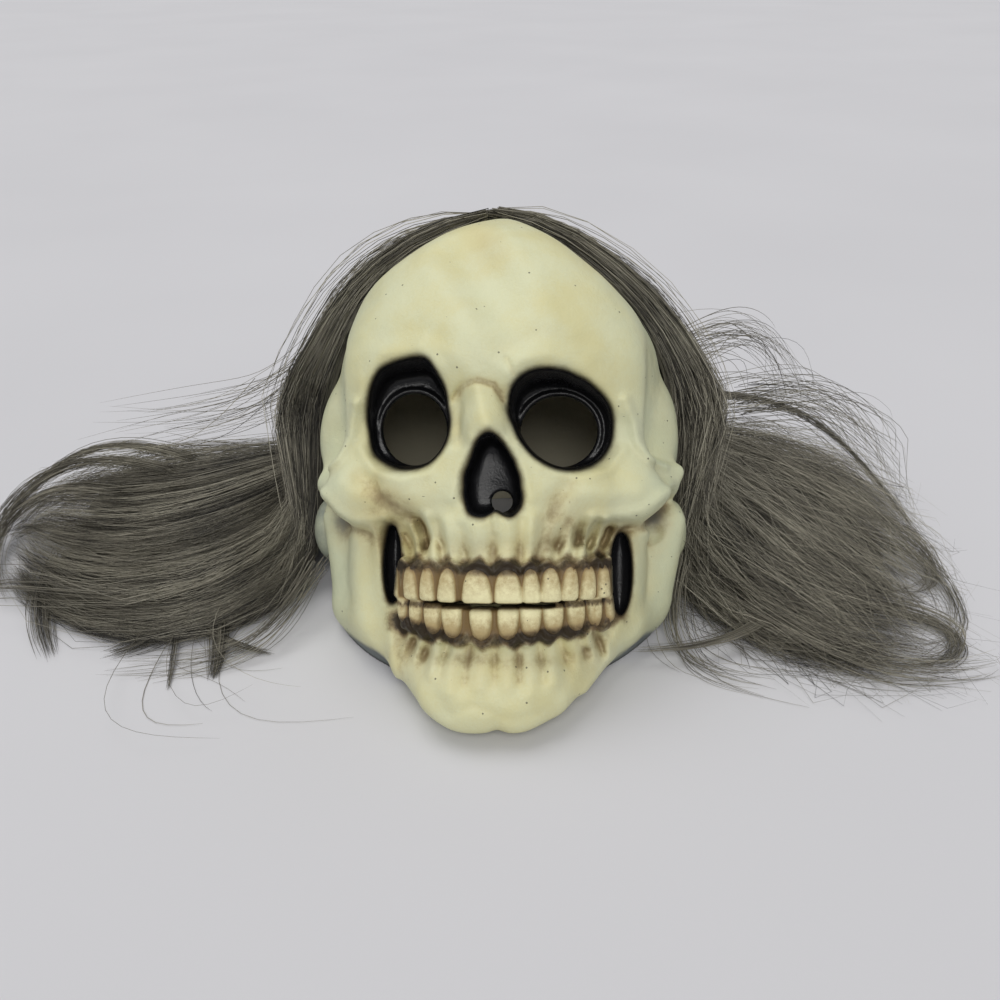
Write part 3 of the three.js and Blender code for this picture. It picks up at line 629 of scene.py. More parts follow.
def surface_of(low, high, step, distance):
    """The zero surface of a distance function, worked out finely only near the surface."""
    block = 4
    counts = np.ceil((high - low) / (step * block)).astype(int)
    axes = [low[k] + (np.arange(counts[k]) + 0.5) * step * block for k in range(3)]
    coarse = np.stack(np.meshgrid(*axes, indexing="ij"), axis=-1).reshape(-1, 3)
    rough = distance(coarse)
    near = np.nonzero(np.abs(rough) < step * block * 0.87 + 0.003)[0]
    offsets = (np.indices((block,) * 3).reshape(3, -1).T + 0.5) * step - step * block / 2
    fine = (coarse[near][:, None, :] + offsets).reshape(-1, 3)
    dense = np.repeat(rough, block**3).reshape(len(rough), -1)
    dense[near] = distance(fine).reshape(len(near), -1)
    dense = dense.reshape(*counts, block, block, block).transpose(0, 3, 1, 4, 2, 5)
    dense = dense.reshape(counts * block)
    grid = openvdb.FloatGrid(0.01)
    grid.copyFromArray(np.ascontiguousarray(dense, dtype=np.float32))
    points, triangles, quads = grid.convertToPolygons(isovalue=0.0, adaptivity=0.0)
    return low + (points + 0.5) * step, quads, triangles


CASTING_FACES = 188000
CASTING_STEP = 0.00095  # the grid that the casting is worked out on


def make_skull():
    """The hollow casting with sockets, nose, roots and teeth, painted by masks on its vertices."""
    low = np.array([-1.12, -1.32, -1.2]) * HALF
    high = np.array([1.12, 1.36, 1.05]) * HALF
    points, quads, triangles = surface_of(low, high, CASTING_STEP, lambda p: in_chunks(p, ["shell"])[0])
    skull = new_mesh("skull_casting", points, quads, triangles)
    faces = 2 * len(quads) + len(triangles)
    decimate(skull, min(1, CASTING_FACES / faces))
    paint_masks(skull)
    return skull


def paint_masks(skull):
    """Stores where each paint lies, and moves the casting to its place on the table."""
    mesh = skull.data
    co = np.empty(len(mesh.vertices) * 3, np.float32)
    mesh.vertices.foreach_get("co", co)
    p = co.reshape(-1, 3).astype(float)
    normal = np.empty(len(co), np.float32)
    mesh.vertices.foreach_get("normal", normal)
    normal = normal.reshape(-1, 3).astype(float)
    keys = ["skin", "teeth", "solid", "hollow", "brown", "pocket"]
    skin, teeth, solid, hollow, brown, pocket = in_chunks(p, keys)
    inside = (np.abs(hollow) < 0.0007) & (solid < -0.0015)
    # how closed in each vertex is, sampled ahead along its normal: it browns the recesses, partly real
    # stain and partly painted shade
    closed = np.zeros(len(p))
    for reach, weight in ((0.003, 0.45), (0.007, 0.35), (0.014, 0.2)):
        ahead = in_chunks(p + normal * reach, ["shell"])[0]
        closed += weight * np.clip(1 - ahead / reach, 0, 1.4)
    x, y, z = p.T
    height = above_table(p)
    masks = {
        "inside": inside.astype(float),
        "gloss": smooth(-0.0004, -0.0027, solid) * ~inside,
        "tooth": np.clip(0.5 + (skin - teeth) / 0.006, 0, 1),
        "gum": gum_mask(x, z, y),
        "gap": smooth(0.0045, 0.0025, teeth),
        "dirt": tooth_dirt_mask(x, z),
        # the outer sides, more so higher up, painted darker and greener: painted shade on the sides
        # turned from the light
        "side": 0.7 * smooth(0.062, 0.096, np.abs(x) + 0.25 * np.maximum(z - 0.03, 0)),
        # brown stains, with painted shade from the temple and jaw notch rows
        "stain_and_shade": np.clip(stain_mask(p) + brown, 0, 1),
        # brown in recesses: real stain together with painted shade, darker where more closed in
        "recess_stain_and_shade": np.clip(closed, 0, 1) * ~inside,
        "halo": smooth(0.0048, 0.0003, pocket) * (solid > -0.004) * ~inside,
        "slate": slate_mask(x, y, z),
        # the lowest 3.5 mm over the table painted near black: the dark rim of the neck paint, and painted
        # contact shadow where the casting meets the table
        "edge": smooth(0.0035, 0.0005, height),
    }
    for name, values in masks.items():
        store(skull, name, values)
    mesh.vertices.foreach_set("co", to_table(p).astype(np.float32).ravel())
    mesh.update()


def off_slit(x, z):
    """How far to the side of the rows' middle, and how far above the slit between them."""
    across = x - ROWS[0]["middle"] * HALF_WIDTH
    return across, z - SLIT[1] * HALF[2] - 0.02 * across


def tooth_dirt_mask(x, z):
    """Brown dirt on the crowns: more towards the gums, at the sides and in the lower row."""
    across, above_slit = off_slit(x, z)
    to_gum = smooth(0.003, 0.015, np.abs(above_slit))
    side = smooth(0.012, 0.045, np.abs(across))
    lower = above_slit < 0
    gum_share, side_share = np.where(lower, 0.95, 0.5), np.where(lower, 0.45, 0.25)
    return np.clip(0.12 + to_gum * gum_share + side * side_share, 0, 1)


def gum_mask(x, z, y):
    """The dark paint band that lies along both gums, and near-black painted shade in the slit between the
    rows.
    """
    across, above_slit = off_slit(x, z)
    end = smooth(0.070, 0.056, np.abs(across)) * smooth(-0.03, -0.045, y)
    # the slit between the rows is painted near black: painted shade where the rows meet
    total = 0.9 * smooth(0.003, 0.0008, np.abs(above_slit))
    for row in ROWS:
        beyond = (z - gum_height(row, row_line(row, x, "lift"))) * row["up"]
        wider = 0.003 * smooth(-0.02, -0.045, x) * (row["up"] < 0)
        ragged = 0.0012 * np.sin(x * 410 + row["up"]) + 0.0009 * np.sin(x * 730 + 1.3)
        band = smooth(0.0068 + wider, 0.0008 + wider, beyond + ragged) * smooth(-0.007, -0.001, beyond)
        total = np.maximum(total, band * (0.8 + 0.2 * np.sin(x * 95 + row["up"])))
    return np.clip(total * end, 0, 1)


# Where the pale jaw ends and the dark neck under it begins: x and z in millimetres
JAW_LINE = [
    (-93, -108), (-82, -113), (-61, -117.5), (-50, -124),
    (50, -132), (61, -125), (73, -117), (84, -108),
]


def slate_mask(x, y, z):
    """The dark grey paint of the neck under the jaw and of the bulge behind its left side, and painted
    shade in both jaw notches.
    """
    line = np.interp(x * 1000, *zip(*JAW_LINE)) / 1000
    under = smooth(0.001, -0.004, z - line) * smooth(-0.062, -0.05, y)
    bulge = smooth(-0.095, -0.1, x) * smooth(-0.012, 0.0, y) * smooth(-0.03, -0.036, z)
    # both jaw notches darkened with the slate grey: painted shade in the hollows under the arches
    notches = 0
    for side, z_middle in ((-1, -0.335), (1, -0.305)):
        off = ((x / HALF_WIDTH - side * 0.83) / 0.055) ** 2 + ((z / HALF[2] - z_middle) / 0.055) ** 2
        notches = notches + 0.65 * np.exp(-off) * smooth(-0.03, -0.02, -np.abs(y + 0.035))
    return np.clip(np.maximum(under, 0.6 * bulge) + notches, 0, 1)


# Airbrushed brown stains: place and radii as shares, and how strong it is. The rows at the temples and in
# the jaw notches are painted shade in those hollows.
STAINS_AND_SHADE = table(("name", "place", "radii", "strength"), [
    ("under_left_cheek", (-0.55, -0.6, -0.4), (0.12, 0.35, 0.08), 0.6),
    ("under_right_cheek", (0.62, -0.6, -0.42), (0.12, 0.35, 0.08), 0.55),
    ("left_cheek_front", (-0.5, -0.7, -0.24), (0.26, 0.3, 0.09), 0.42),
    ("right_cheek_front", (0.34, -0.8, -0.3), (0.13, 0.3, 0.1), 0.45),
    ("roots_upper", (0.06, -0.9, -0.43), (0.45, 0.4, 0.06), 0.5),
    ("roots_lower", (0.03, -0.85, -0.81), (0.42, 0.4, 0.05), 0.5),
    ("forehead_dent", (-0.05, -0.7, 0.72), (0.11, 0.4, 0.16), 0.42),
    ("left_jaw", (-0.42, -0.6, -0.78), (0.12, 0.3, 0.14), 0.55),
    ("right_jaw", (0.5, -0.6, -0.72), (0.12, 0.3, 0.14), 0.5),
    # these four rows lay painted shade in the jaw notches and at the temples
    ("left_notch", (-0.83, -0.3, -0.36), (0.1, 0.25, 0.08), 0.6),
    ("right_notch", (0.86, -0.3, -0.3), (0.09, 0.25, 0.1), 0.6),
    ("left_temple", (-0.9, -0.3, 0.12), (0.1, 0.3, 0.2), 0.3),
    ("right_temple", (0.9, -0.3, 0.12), (0.1, 0.3, 0.2), 0.3),
    ("nasion", (-0.02, -0.8, 0.16), (0.14, 0.3, 0.05), 0.3),
    ("chin_fold", (0.0, -0.85, -0.88), (0.3, 0.3, 0.04), 0.35),
])


# brown stains, and painted shade in the hollows at the temples and jaw notches
def stain_mask(p):
    total = np.zeros(len(p))
    for row in STAINS_AND_SHADE:
        q = (p / HALF - np.array(row["place"])) / np.array(row["radii"])
        total += row["strength"] * np.exp(-(q**2).sum(axis=1))
    return np.clip(total, 0, 1)


# Hair. Each side is a stack of combed sheets. A strand is placed by its share from the front
# rail to the back one, and by its layer from the inside to the outside.
HEAD_ANGLES = np.array([1.5, 14, 28, 42, 56, 70, 84])  # degrees from the crown
STAND_OFF = np.array([0.006, 0.012, 0.014, 0.0155, 0.0185, 0.025, 0.033])
FRONT_ANGLE = 3  # degrees that the front rail lies behind the crown's plane
BACK_ANGLE = 84
# Stations of each rail on the table: out to the side, to the rear and up, in millimetres.
LEFT_RAILS = [
    [(112, -20, 42), (140, -58, 30), (184, -86, 21), (240, -74, 14), (290, -42, 8), (316, -8, 5)],
    [(120, 4, 48), (152, -34, 42), (204, -56, 36), (262, -34, 28), (314, 14, 16), (334, 36, 7)],
    [(126, 34, 54), (164, 6, 50), (216, -18, 43), (272, -2, 37), (322, 38, 24), (338, 26, 8)],
    [(130, 62, 56), (176, 46, 52), (230, 34, 46), (284, 50, 40), (324, 56, 27), (338, 20, 8)],
    [(130, 86, 54), (174, 100, 52), (214, 112, 50), (256, 106, 42), (288, 92, 28), (304, 70, 12)],
]
RIGHT_RAILS = [
    [(106, -4, 40), (124, -40, 27), (148, -66, 16), (174, -82, 9), (198, -90, 6), (216, -92, 3)],
    [(114, 26, 54), (140, 0, 44), (168, -34, 30), (196, -62, 17), (222, -80, 8), (238, -84, 4)],
    [(122, 54, 60), (156, 42, 52), (190, 14, 38), (220, -20, 24), (244, -44, 11), (256, -52, 5)],
    [(126, 76, 62), (166, 84, 56), (206, 68, 46), (238, 40, 30), (260, 8, 12), (266, -8, 5)],
    [(128, 90, 58), (168, 110, 56), (208, 116, 48), (240, 102, 34), (260, 74, 14), (266, 54, 6)],
]

# Single locks that leave the mass: how many strands, how wide the lock is at its root and its
# tip, how much it strays, and points to the right, to the rear and up from the head's middle.
LOCKS = table(("name", "strands", "root", "tip", "stray", "points"), [
    ("left_tuft_1", 80, 10, 6, 1.3,
     [(-286, -6, 8), (-284, -38, 6), (-272, -70, 4), (-254, -96, 2)]),
    ("left_tuft_2", 76, 10, 6, 1.3,
     [(-172, -44, 10), (-188, -70, 8), (-204, -86, 4), (-222, -92, 1)]),
    ("left_tuft_3", 24, 2.4, 0.5, 1,
     [(-190, -56, 8), (-186, -82, 6), (-181, -104, 3), (-178, -122, 1)]),
    ("left_tuft_4", 84, 8, 2.5, 1,
     [(-168, -52, 8), (-161, -78, 7), (-157, -96, 4), (-156, -112, 1)]),
    ("left_tuft_5", 46, 5, 1.2, 2,
     [(-176, -70, 7), (-158, -84, 6), (-142, -88, 3), (-128, -90, 1)]),
    ("left_curl_1", 70, 5, 4, 4,
     [(-212, 58, 50), (-264, 92, 46), (-316, 96, 36), (-336, 50, 20), (-344, 4, 8)]),
    ("left_curl_2", 60, 6, 5, 4,
     [(-220, 40, 50), (-288, 76, 44), (-334, 60, 30), (-342, 12, 14), (-318, -30, 6)]),
    ("left_curl_3", 50, 6, 5, 4,
     [(-250, 20, 44), (-306, 52, 34), (-338, 34, 18), (-334, -8, 8), (-306, -44, 4)]),
    ("left_strays", 24, 12, 14, 8,
     [(-230, -60, 20), (-290, -40, 10), (-330, -34, 4), (-346, -52, 1)]),
    ("left_low_strays", 40, 9, 10, 8,
     [(-110, -40, 30), (-126, -82, 12), (-160, -100, 3), (-210, -104, 1)]),
    ("left_high_strays", 40, 26, 24, 20,
     [(-120, 60, 120), (-160, 74, 84), (-220, 108, 56), (-300, 110, 44)]),
    ("right_short_lock", 90, 6, 4, 2,
     [(96, 10, 60), (100, -14, 38), (104, -40, 18), (104, -62, 5)]),
    ("right_thin_lock", 60, 6, 2, 2,
     [(182, -40, 20), (152, -72, 12), (114, -94, 12), (78, -96, 12)]),
    ("right_curl_1", 50, 7, 3, 7,
     [(206, 40, 34), (246, 44, 16), (276, 24, 6), (274, -16, 2), (246, -28, 2)]),
    ("right_curl_2", 56, 8, 4, 7,
     [(206, -50, 14), (246, -46, 6), (270, -66, 3), (254, -92, 1), (222, -92, 1)]),
    ("right_curl_3", 36, 8, 6, 8,
     [(222, 10, 26), (262, 16, 8), (278, -20, 3), (270, -64, 1), (236, -74, 1)]),
    ("right_dark_lock", 34, 5, 1.5, 2,
     [(150, 118, 70), (206, 134, 56), (244, 104, 34), (266, 64, 12), (276, 36, 3)]),
    ("right_low_strays", 60, 10, 14, 10,
     [(150, -60, 18), (192, -92, 5), (236, -104, 2), (270, -92, 1)]),
    ("right_high_strays", 50, 22, 22, 22,
     [(110, 50, 130), (148, 100, 126), (184, 138, 104), (204, 132, 64)]),
    ("right_far_strays", 80, 24, 28, 26,
     [(150, 90, 76), (204, 120, 72), (250, 124, 46), (272, 90, 12)]),
    ("right_jaw_strays", 34, 8, 12, 10,
     [(110, -30, 30), (98, -70, 10), (112, -104, 2), (150, -112, 1)]),
    ("left_floor_strays", 9, 30, 44, 20,
     [(-170, -40, 8), (-180, -104, 3), (-150, -144, 1), (-104, -138, 1)]),
])


PARTING = 3.2  # degrees that the parting lies to the left of the crown


def direction_of(side, crown, back):
    """The ways from the head's middle at angles from the crown and to the back, in radians."""
    x, y, z = side * np.sin(crown) * np.cos(back), np.sin(back), np.cos(crown) * np.cos(back)
    return np.stack([x, y, z], axis=-1)


def radial_map(side, steps=72):
    """Distance from the head's middle to the bone, over the angles that the hair covers."""
    crown = np.radians(np.linspace(-10, 100, steps))
    back = np.radians(np.linspace(0, 90, steps))
    direction = direction_of(side, *np.meshgrid(crown, back, indexing="ij")).reshape(-1, 3)
    radius = np.full(len(direction), 0.17)
    for _ in range(60):
        radius -= 0.6 * bone_distance(direction * radius[:, None])
    return radius.reshape(steps, steps)


BONE_RADIUS = {side: radial_map(side) for side in (-1, 1)}


def bone_radius(side, crown, back):
    """The stored distance at angles in degrees, between its own steps too."""
    stored = BONE_RADIUS[side]
    steps = len(stored) - 1
    i = np.clip((crown + 10) / 110 * steps, 0, steps - 1e-6)
    j = np.clip(back / 90 * steps, 0, steps - 1e-6)
    i0, j0 = i.astype(int), j.astype(int)
    u, v = i - i0, j - j0
    low = stored[i0, j0] * (1 - v) + stored[i0, j0 + 1] * v
    high = stored[i0 + 1, j0] * (1 - v) + stored[i0 + 1, j0 + 1] * v
    return low * (1 - u) + high * u


def over_head(side, crown, back, off):
    """Points over the head at angles from the crown and to the back, in the part's frame."""
    direction = direction_of(side, np.radians(crown), np.radians(back))
    return to_table(direction * (bone_radius(side, crown, back) + off)[:, None])


def hair_controls(side, share, layer):
    """Control points of strands from the parting to their tips, one row of points a strand."""
    rails = LEFT_RAILS if side < 0 else RIGHT_RAILS
    back = FRONT_ANGLE + (BACK_ANGLE - FRONT_ANGLE) * share
    columns = []
    for angle, off in zip(HEAD_ANGLES, STAND_OFF):
        lift = 0.0012 + off * layer * (1 - 0.45 * share)
        crown = angle - side * PARTING * (1 - angle / 84) ** 3
        if angle < 2:
            crown = crown + 1.5 * np.sin(share * 61 + layer * 37)
        columns.append(over_head(side, np.full(len(share), crown), back, lift))
    rows = np.array(rails) / 1000
    beyond = 0.3 * np.maximum(share - 1, 0)
    where = share * (len(rails) - 1)
    round_edge = np.sqrt(np.clip(1 - np.abs(2 * share - 1) ** 5, 0, 1))
    for station in rows.transpose(1, 2, 0):
        out, rear, up = (np.interp(where, np.arange(len(rails)), values) for values in station)
        z = 0.002 + up * layer * (0.35 + 0.65 * round_edge)
        columns.append(np.stack([side * out + HEAD[0], rear + beyond + HEAD[1], z], axis=1))
    return np.stack(columns, axis=1)


def spline(controls, steps, reach=1.0):
    """Points along the smooth curve of each row of control points."""
    first = 2 * controls[:, :1] - controls[:, 1:2]
    last = 2 * controls[:, -1:] - controls[:, -2:-1]
    padded = np.concatenate([first, controls, last], axis=1)
    spans = controls.shape[1] - 1
    reach = np.broadcast_to(np.asarray(reach, float), (len(controls),))
    u = np.linspace(0, 1, steps + 1)[None, :] * spans * reach[:, None]
    i = np.minimum(u.astype(int), spans - 1)
    f = (u - i)[..., None]
    weights = [(1 - f) ** 3, 3 * f**3 - 6 * f**2 + 4, -3 * f**3 + 3 * f**2 + 3 * f + 1, f**3]
    row = np.arange(len(controls))[:, None]
    return sum(weight * padded[row, i + k] for k, weight in enumerate(weights)) / 6


def tubes(name, paths, radii, shade, sides=3):
    """Closed thin tubes along paths, one a strand, with its shade on every vertex."""
    count, rings = paths.shape[:2]
    along = np.gradient(paths, axis=1)
    along /= np.maximum(length(along), 1e-9)[..., None]
    up = np.array([0.13, 0.21, 0.97])
    across = np.cross(along, up)
    across /= np.maximum(length(across), 1e-6)[..., None]
    upward = np.cross(across, along)
    angles = 2 * math.pi * np.arange(sides) / sides
    ring = across[:, :, None] * np.cos(angles)[:, None] + upward[:, :, None] * np.sin(angles)[:, None]
    vertices = paths[:, :, None] + ring * radii[:, :, None, None]
    base = (np.arange(count) * rings * sides)[:, None, None]
    here = base + (np.arange(rings - 1) * sides)[None, :, None] + np.arange(sides)
    there = base + (np.arange(rings - 1) * sides)[None, :, None] + (np.arange(sides) + 1) % sides
    quads = np.stack([here, here + sides, there + sides, there], axis=-1).reshape(-1, 4)
    fan = np.stack([np.zeros(sides - 2, int), np.arange(1, sides - 1), np.arange(2, sides)], axis=1)
    starts = base[:, 0, :, None]
    ends = starts + (rings - 1) * sides
    caps = np.concatenate([starts + fan[:, ::-1], ends + fan]).reshape(-1, 3)
    piece = new_mesh(name, vertices.reshape(-1, 3), quads, caps)
    store(piece, "shade", np.repeat(shade, rings * sides))
    return piece


BED_LANES = 120
BED_STATIONS = 44


def make_bed(side, name, seed):
    """The closed mass under the strands, grooved along the hair."""
    rng = np.random.default_rng(seed)
    across, stations = BED_LANES, BED_STATIONS
    share = np.linspace(0.0, 1.0, across)
    locks = np.interp(share, np.linspace(0, 1, 34), rng.uniform(-0.16, 0.1, 34))
    groove = locks + rng.uniform(-0.045, 0.045, across)
    end = 0.9 + np.interp(share, np.linspace(0, 1, 24), rng.uniform(-0.09, 0.01, 24))
    top = spline(hair_controls(side, share, 0.76 + groove), stations, end)
    under = spline(hair_controls(side, share, np.full(across, 0.0)), stations, end)
    # the mass thins to nothing at its tips and along its rear edge
    thin = np.sqrt(1.002 - np.linspace(0, 1, stations + 1) ** 9)[None, :, None]
    thin = thin * np.sqrt(1.002 - share**26)[:, None, None]
    top = under + (top - under) * thin
    rings = stations + 1
    vertices = np.concatenate([top.reshape(-1, 3), under.reshape(-1, 3)])
    at = np.arange(across * rings).reshape(across, rings)
    sheet = np.stack([at[:-1, :-1], at[:-1, 1:], at[1:, 1:], at[1:, :-1]], axis=-1).reshape(-1, 4)
    low = across * rings
    back = sheet[:, ::-1] + low
    loop = np.concatenate([at[:, 0], at[-1, 1:], at[-2::-1, -1], at[0, -2:0:-1]])
    following = np.roll(loop, -1)
    wall = np.stack([loop, following, following + low, loop + low], axis=1)
    quads = np.concatenate([sheet, back, wall])
    if side < 0:
        quads = quads[:, ::-1]
    piece = new_mesh(name, vertices, quads, np.empty((0, 3), int))
    store(piece, "lane", np.tile(np.repeat(share, rings), 2))
    store(piece, "reach", np.tile(np.linspace(0, 1, rings), across * 2))
    return piece


def strand_paths(side, count, steps, seed, wander, loose_share, tone):
    """Paths of strands in locks that lie over the bed, with a shade for each."""
    rng = np.random.default_rng(seed)
    locks = max(count // 26, 1)
    lock_share = rng.beta(0.85, 1.0, locks)
    lock_layer = 1.04 - 0.5 * rng.random(locks) ** 2
    lock = rng.integers(0, locks, count)
    spread = rng.normal(0, 1, (count, 2))
    share = lock_share[lock] + spread[:, 0] * 0.014
    layer = np.clip(lock_layer[lock] + spread[:, 1] * 0.07, 0.25, 1.14)
    # strands that cover the front and the rear edge of the mass
    edge_pick = rng.random(count)
    front, rear = edge_pick < 0.18, edge_pick > 0.88
    fringe = front | rear
    share = np.where(front, rng.normal(-0.005, 0.013, count), share)
    share = np.where(rear, rng.normal(1.0, 0.012, count), share)
    layer = np.where(fringe, rng.uniform(0.15, 1.12, count), layer)
    share = np.clip(share, -0.04, 1.03)
    controls = hair_controls(side, share, layer)
    stations = controls.shape[1]
    grow = smooth(3.5, stations - 1, np.arange(stations))[None, :, None]
    sway = rng.normal(0, wander, (locks, stations, 3))
    sway = (sway + np.roll(sway, 1, axis=1)) * 0.7
    controls += grow * sway[lock] * np.array([1, 1, 0.5])
    loose = (rng.random(count) < loose_share)[:, None, None]
    stray = np.where(loose, 2.6, 0.45) * wander
    controls += grow * rng.normal(0, 1, (count, stations, 3)) * stray * np.array([1, 1, 0.6])
    over = 0.0006 * rng.normal(0, 1, (count, stations, 3)) * (1 - grow)
    controls += over
    centre = np.zeros((locks, stations, 3))
    np.add.at(centre, lock, controls)
    centre /= np.maximum(np.bincount(lock, minlength=locks), 1)[:, None, None]
    pull = 0.85 * rng.random(locks)[lock][:, None, None] * grow * ~loose * ~fringe[:, None, None]
    controls = controls * (1 - pull) + centre[lock] * pull
    # a few lift off the head in low arches
    head = HEAD + np.array([0, 0.02, MIDDLE_HEIGHT])
    outward = controls - head
    outward /= length(outward)[..., None]
    arch = np.sin(np.pi * np.clip(np.arange(stations) / rng.uniform(5, 10, (count, 1)), 0, 1))[..., None]
    rise = np.where(rng.random(count) < 0.035, rng.uniform(0.004, 0.016, count), 0)[:, None, None]
    controls += outward * arch * rise
    reach = 1 - 0.3 * rng.random(count) ** 1.6
    paths = spline(controls, steps, reach)
    shade = tone + 0.27 * rng.normal(0, 1, locks)[lock] + 0.15 * rng.normal(0, 1, count)
    # strands of the inner layers are darker: painted shade under the outer ones
    shade -= 0.5 * np.clip(0.9 - layer, 0, 1)
    return paths, np.clip(shade, 0, 1), rng


# How far strands may lie outside the solids' box: a share of its size, and metres more
ROOM_SHARE = 0.03
ROOM_SPARE = 0.0085


def hair_tubes(name, paths, shade, rng):
    """Tapered strands that stay over the table and inside the part's room."""
    low, high = np.array(cad_low), np.array(cad_high)
    room = ROOM_SHARE * (high - low) + ROOM_SPARE
    paths = np.clip(paths, low - room, high + room)
    paths[..., 2] = np.maximum(paths[..., 2], 0.0006)
    thick = rng.uniform(0.00016, 0.0003, len(paths))
    taper = np.linspace(1, 0, paths.shape[1]) ** 0.5 * 0.85 + 0.15
    return tubes(name, paths, thick[:, None] * taper, shade)


def make_locks(name, steps, seed):
    """The single locks and stray hairs, as strands spread round each lock's own line."""
    rng = np.random.default_rng(seed)
    paths, shades = [], []
    for row in LOCKS:
        points = np.array(row["points"], float) / 1000
        count, last = row["strands"], len(points) - 1
        width = np.linspace(row["root"], row["tip"], last + 1)[None, :, None] / 1000
        offset = rng.normal(0, 0.5, (count, 1, 3)) * width
        stray = rng.normal(0, 1, (count, last + 1, 3)) * row["stray"] / 2000
        stray = stray * np.linspace(0.4, 1, last + 1)[None, :, None]
        controls = points + HEAD + (offset + stray) * np.array([1, 1, 0.6])
        reach = 1 - 0.35 * rng.random(count) ** 2
        paths.append(spline(controls, steps, reach))
        tone = 0.3 if "tuft" in row["name"] or "dark" in row["name"] else 0.5
        shades.append(np.clip(rng.normal(tone, 0.18, count), 0, 1))
    return hair_tubes(name, np.concatenate(paths), np.concatenate(shades), rng)


# Materials


def new_material(name):
    material = bpy.data.materials.new(name)
    material.use_nodes = True
    tree = material.node_tree
    shader = tree.nodes["Principled BSDF"]
    return material, tree, shader


def feed(tree, socket, value):
    """Links an input to an output, or sets it to a number or a colour."""
    if isinstance(value, bpy.types.NodeSocket):
        tree.links.new(value, socket)
    elif socket.type == "RGBA":
        socket.default_value = (*value, 1)
    else:
        socket.default_value = value


def put(tree, kind, values=None, **settings):
    """A node with its settings, and its inputs set to numbers or linked to outputs."""
    made = tree.nodes.new(kind)
    for name, value in settings.items():
        setattr(made, name, value)
    for name, value in (values or {}).items():
        feed(tree, made.inputs[name], value)
    return made


def math_node(tree, operation, *values, clamp=False):
    made = put(tree, "ShaderNodeMath", operation=operation, use_clamp=clamp)
    for socket, value in zip(made.inputs, values):
        feed(tree, socket, value)
    return made.outputs[0]


def range_node(tree, value, low, high, to_low=0.0, to_high=1.0):
    names = {"Value": value, "From Min": low, "From Max": high, "To Min": to_low, "To Max": to_high}
    return put(tree, "ShaderNodeMapRange", names, interpolation_type="SMOOTHSTEP").outputs[0]


def mix_colour(tree, factor, first, second):
    made = put(tree, "ShaderNodeMix", data_type="RGBA")
    for number, value in ((0, factor), (6, first), (7, second)):
        feed(tree, made.inputs[number], value)
    return made.outputs[2]


def noise(tree, at, scale, detail, roughness=0.5):
    values = {"Vector": at, "Scale": scale, "Detail": detail, "Roughness": roughness}
    return put(tree, "ShaderNodeTexNoise", values).outputs[0]


def bump(tree, height, strength, distance, **over):
    """A normal from a height, over another normal if one is given."""
    values = {"Height": height, "Strength": strength, "Distance": distance, **over}
    return put(tree, "ShaderNodeBump", values).outputs[0]


def attribute(tree, name):
    return put(tree, "ShaderNodeAttribute", attribute_name=name).outputs["Fac"]


def place_of(tree):
    return put(tree, "ShaderNodeTexCoord").outputs["Object"]


def new_group(name, inputs, outputs):
    """An empty shader group with number inputs and its outputs."""
    tree = bpy.data.node_groups.new(name, "ShaderNodeTree")
    for label, value in inputs.items():
        socket = tree.interface.new_socket(name=label, in_out="INPUT", socket_type="NodeSocketFloat")
        socket.default_value = value
    for label in outputs:
        tree.interface.new_socket(name=label, in_out="OUTPUT", socket_type="NodeSocketFloat")
    start = tree.nodes.new("NodeGroupInput")
    end = tree.nodes.new("NodeGroupOutput")
    return tree, start, end


def use_group(tree, group, **values):
    made = tree.nodes.new("ShaderNodeGroup")
    made.node_tree = group
    for name, value in values.items():
        feed(tree, made.inputs[name.replace("_", " ")], value)
    return made


def paint_grain_group():
    """Grain of sprayed paint: a height and a slight change of tone."""
    tree, start, end = new_group("paint grain", {"Scale": 900.0, "Cloud Scale": 30.0}, ["Height", "Tone"])
    at = place_of(tree)
    fine = noise(tree, at, start.outputs["Scale"], 3.0, 0.6)
    cloud = noise(tree, at, start.outputs["Cloud Scale"], 5.0)
    tree.links.new(fine, end.inputs["Height"])
    tree.links.new(math_node(tree, "MULTIPLY_ADD", fine, 0.3, cloud), end.inputs["Tone"])
    return tree


def specks_group():
    """Small specks and short scratches, as a mask."""
    tree, start, end = new_group("specks", {"Scale": 130.0, "Size": 0.07, "Share": 0.68}, ["Mask"])
    at = place_of(tree)
    cell = put(tree, "ShaderNodeTexVoronoi", {"Vector": at, "Scale": start.outputs["Scale"]})
    small = math_node(tree, "LESS_THAN", cell.outputs["Distance"], start.outputs["Size"])
    pick = put(tree, "ShaderNodeSeparateColor", {"Color": cell.outputs["Color"]}).outputs[0]
    chosen = math_node(tree, "LESS_THAN", pick, start.outputs["Share"])
    dots = math_node(tree, "MULTIPLY", small, chosen)
    stretch = {"Vector": at, "Rotation": (0.4, 0.9, 0.5), "Scale": (1, 7, 7)}
    stretched = put(tree, "ShaderNodeMapping", stretch)
    line = put(tree, "ShaderNodeTexVoronoi", {"Vector": stretched.outputs[0], "Scale": 42.0})
    thin = math_node(tree, "LESS_THAN", line.outputs["Distance"], 0.045)
    tint = put(tree, "ShaderNodeSeparateColor", {"Color": line.outputs["Color"]}).outputs[1]
    rare = math_node(tree, "LESS_THAN", tint, 0.2)
    scratch = math_node(tree, "MULTIPLY", thin, rare)
    tree.links.new(math_node(tree, "MAXIMUM", dots, scratch), end.inputs["Mask"])
    return tree


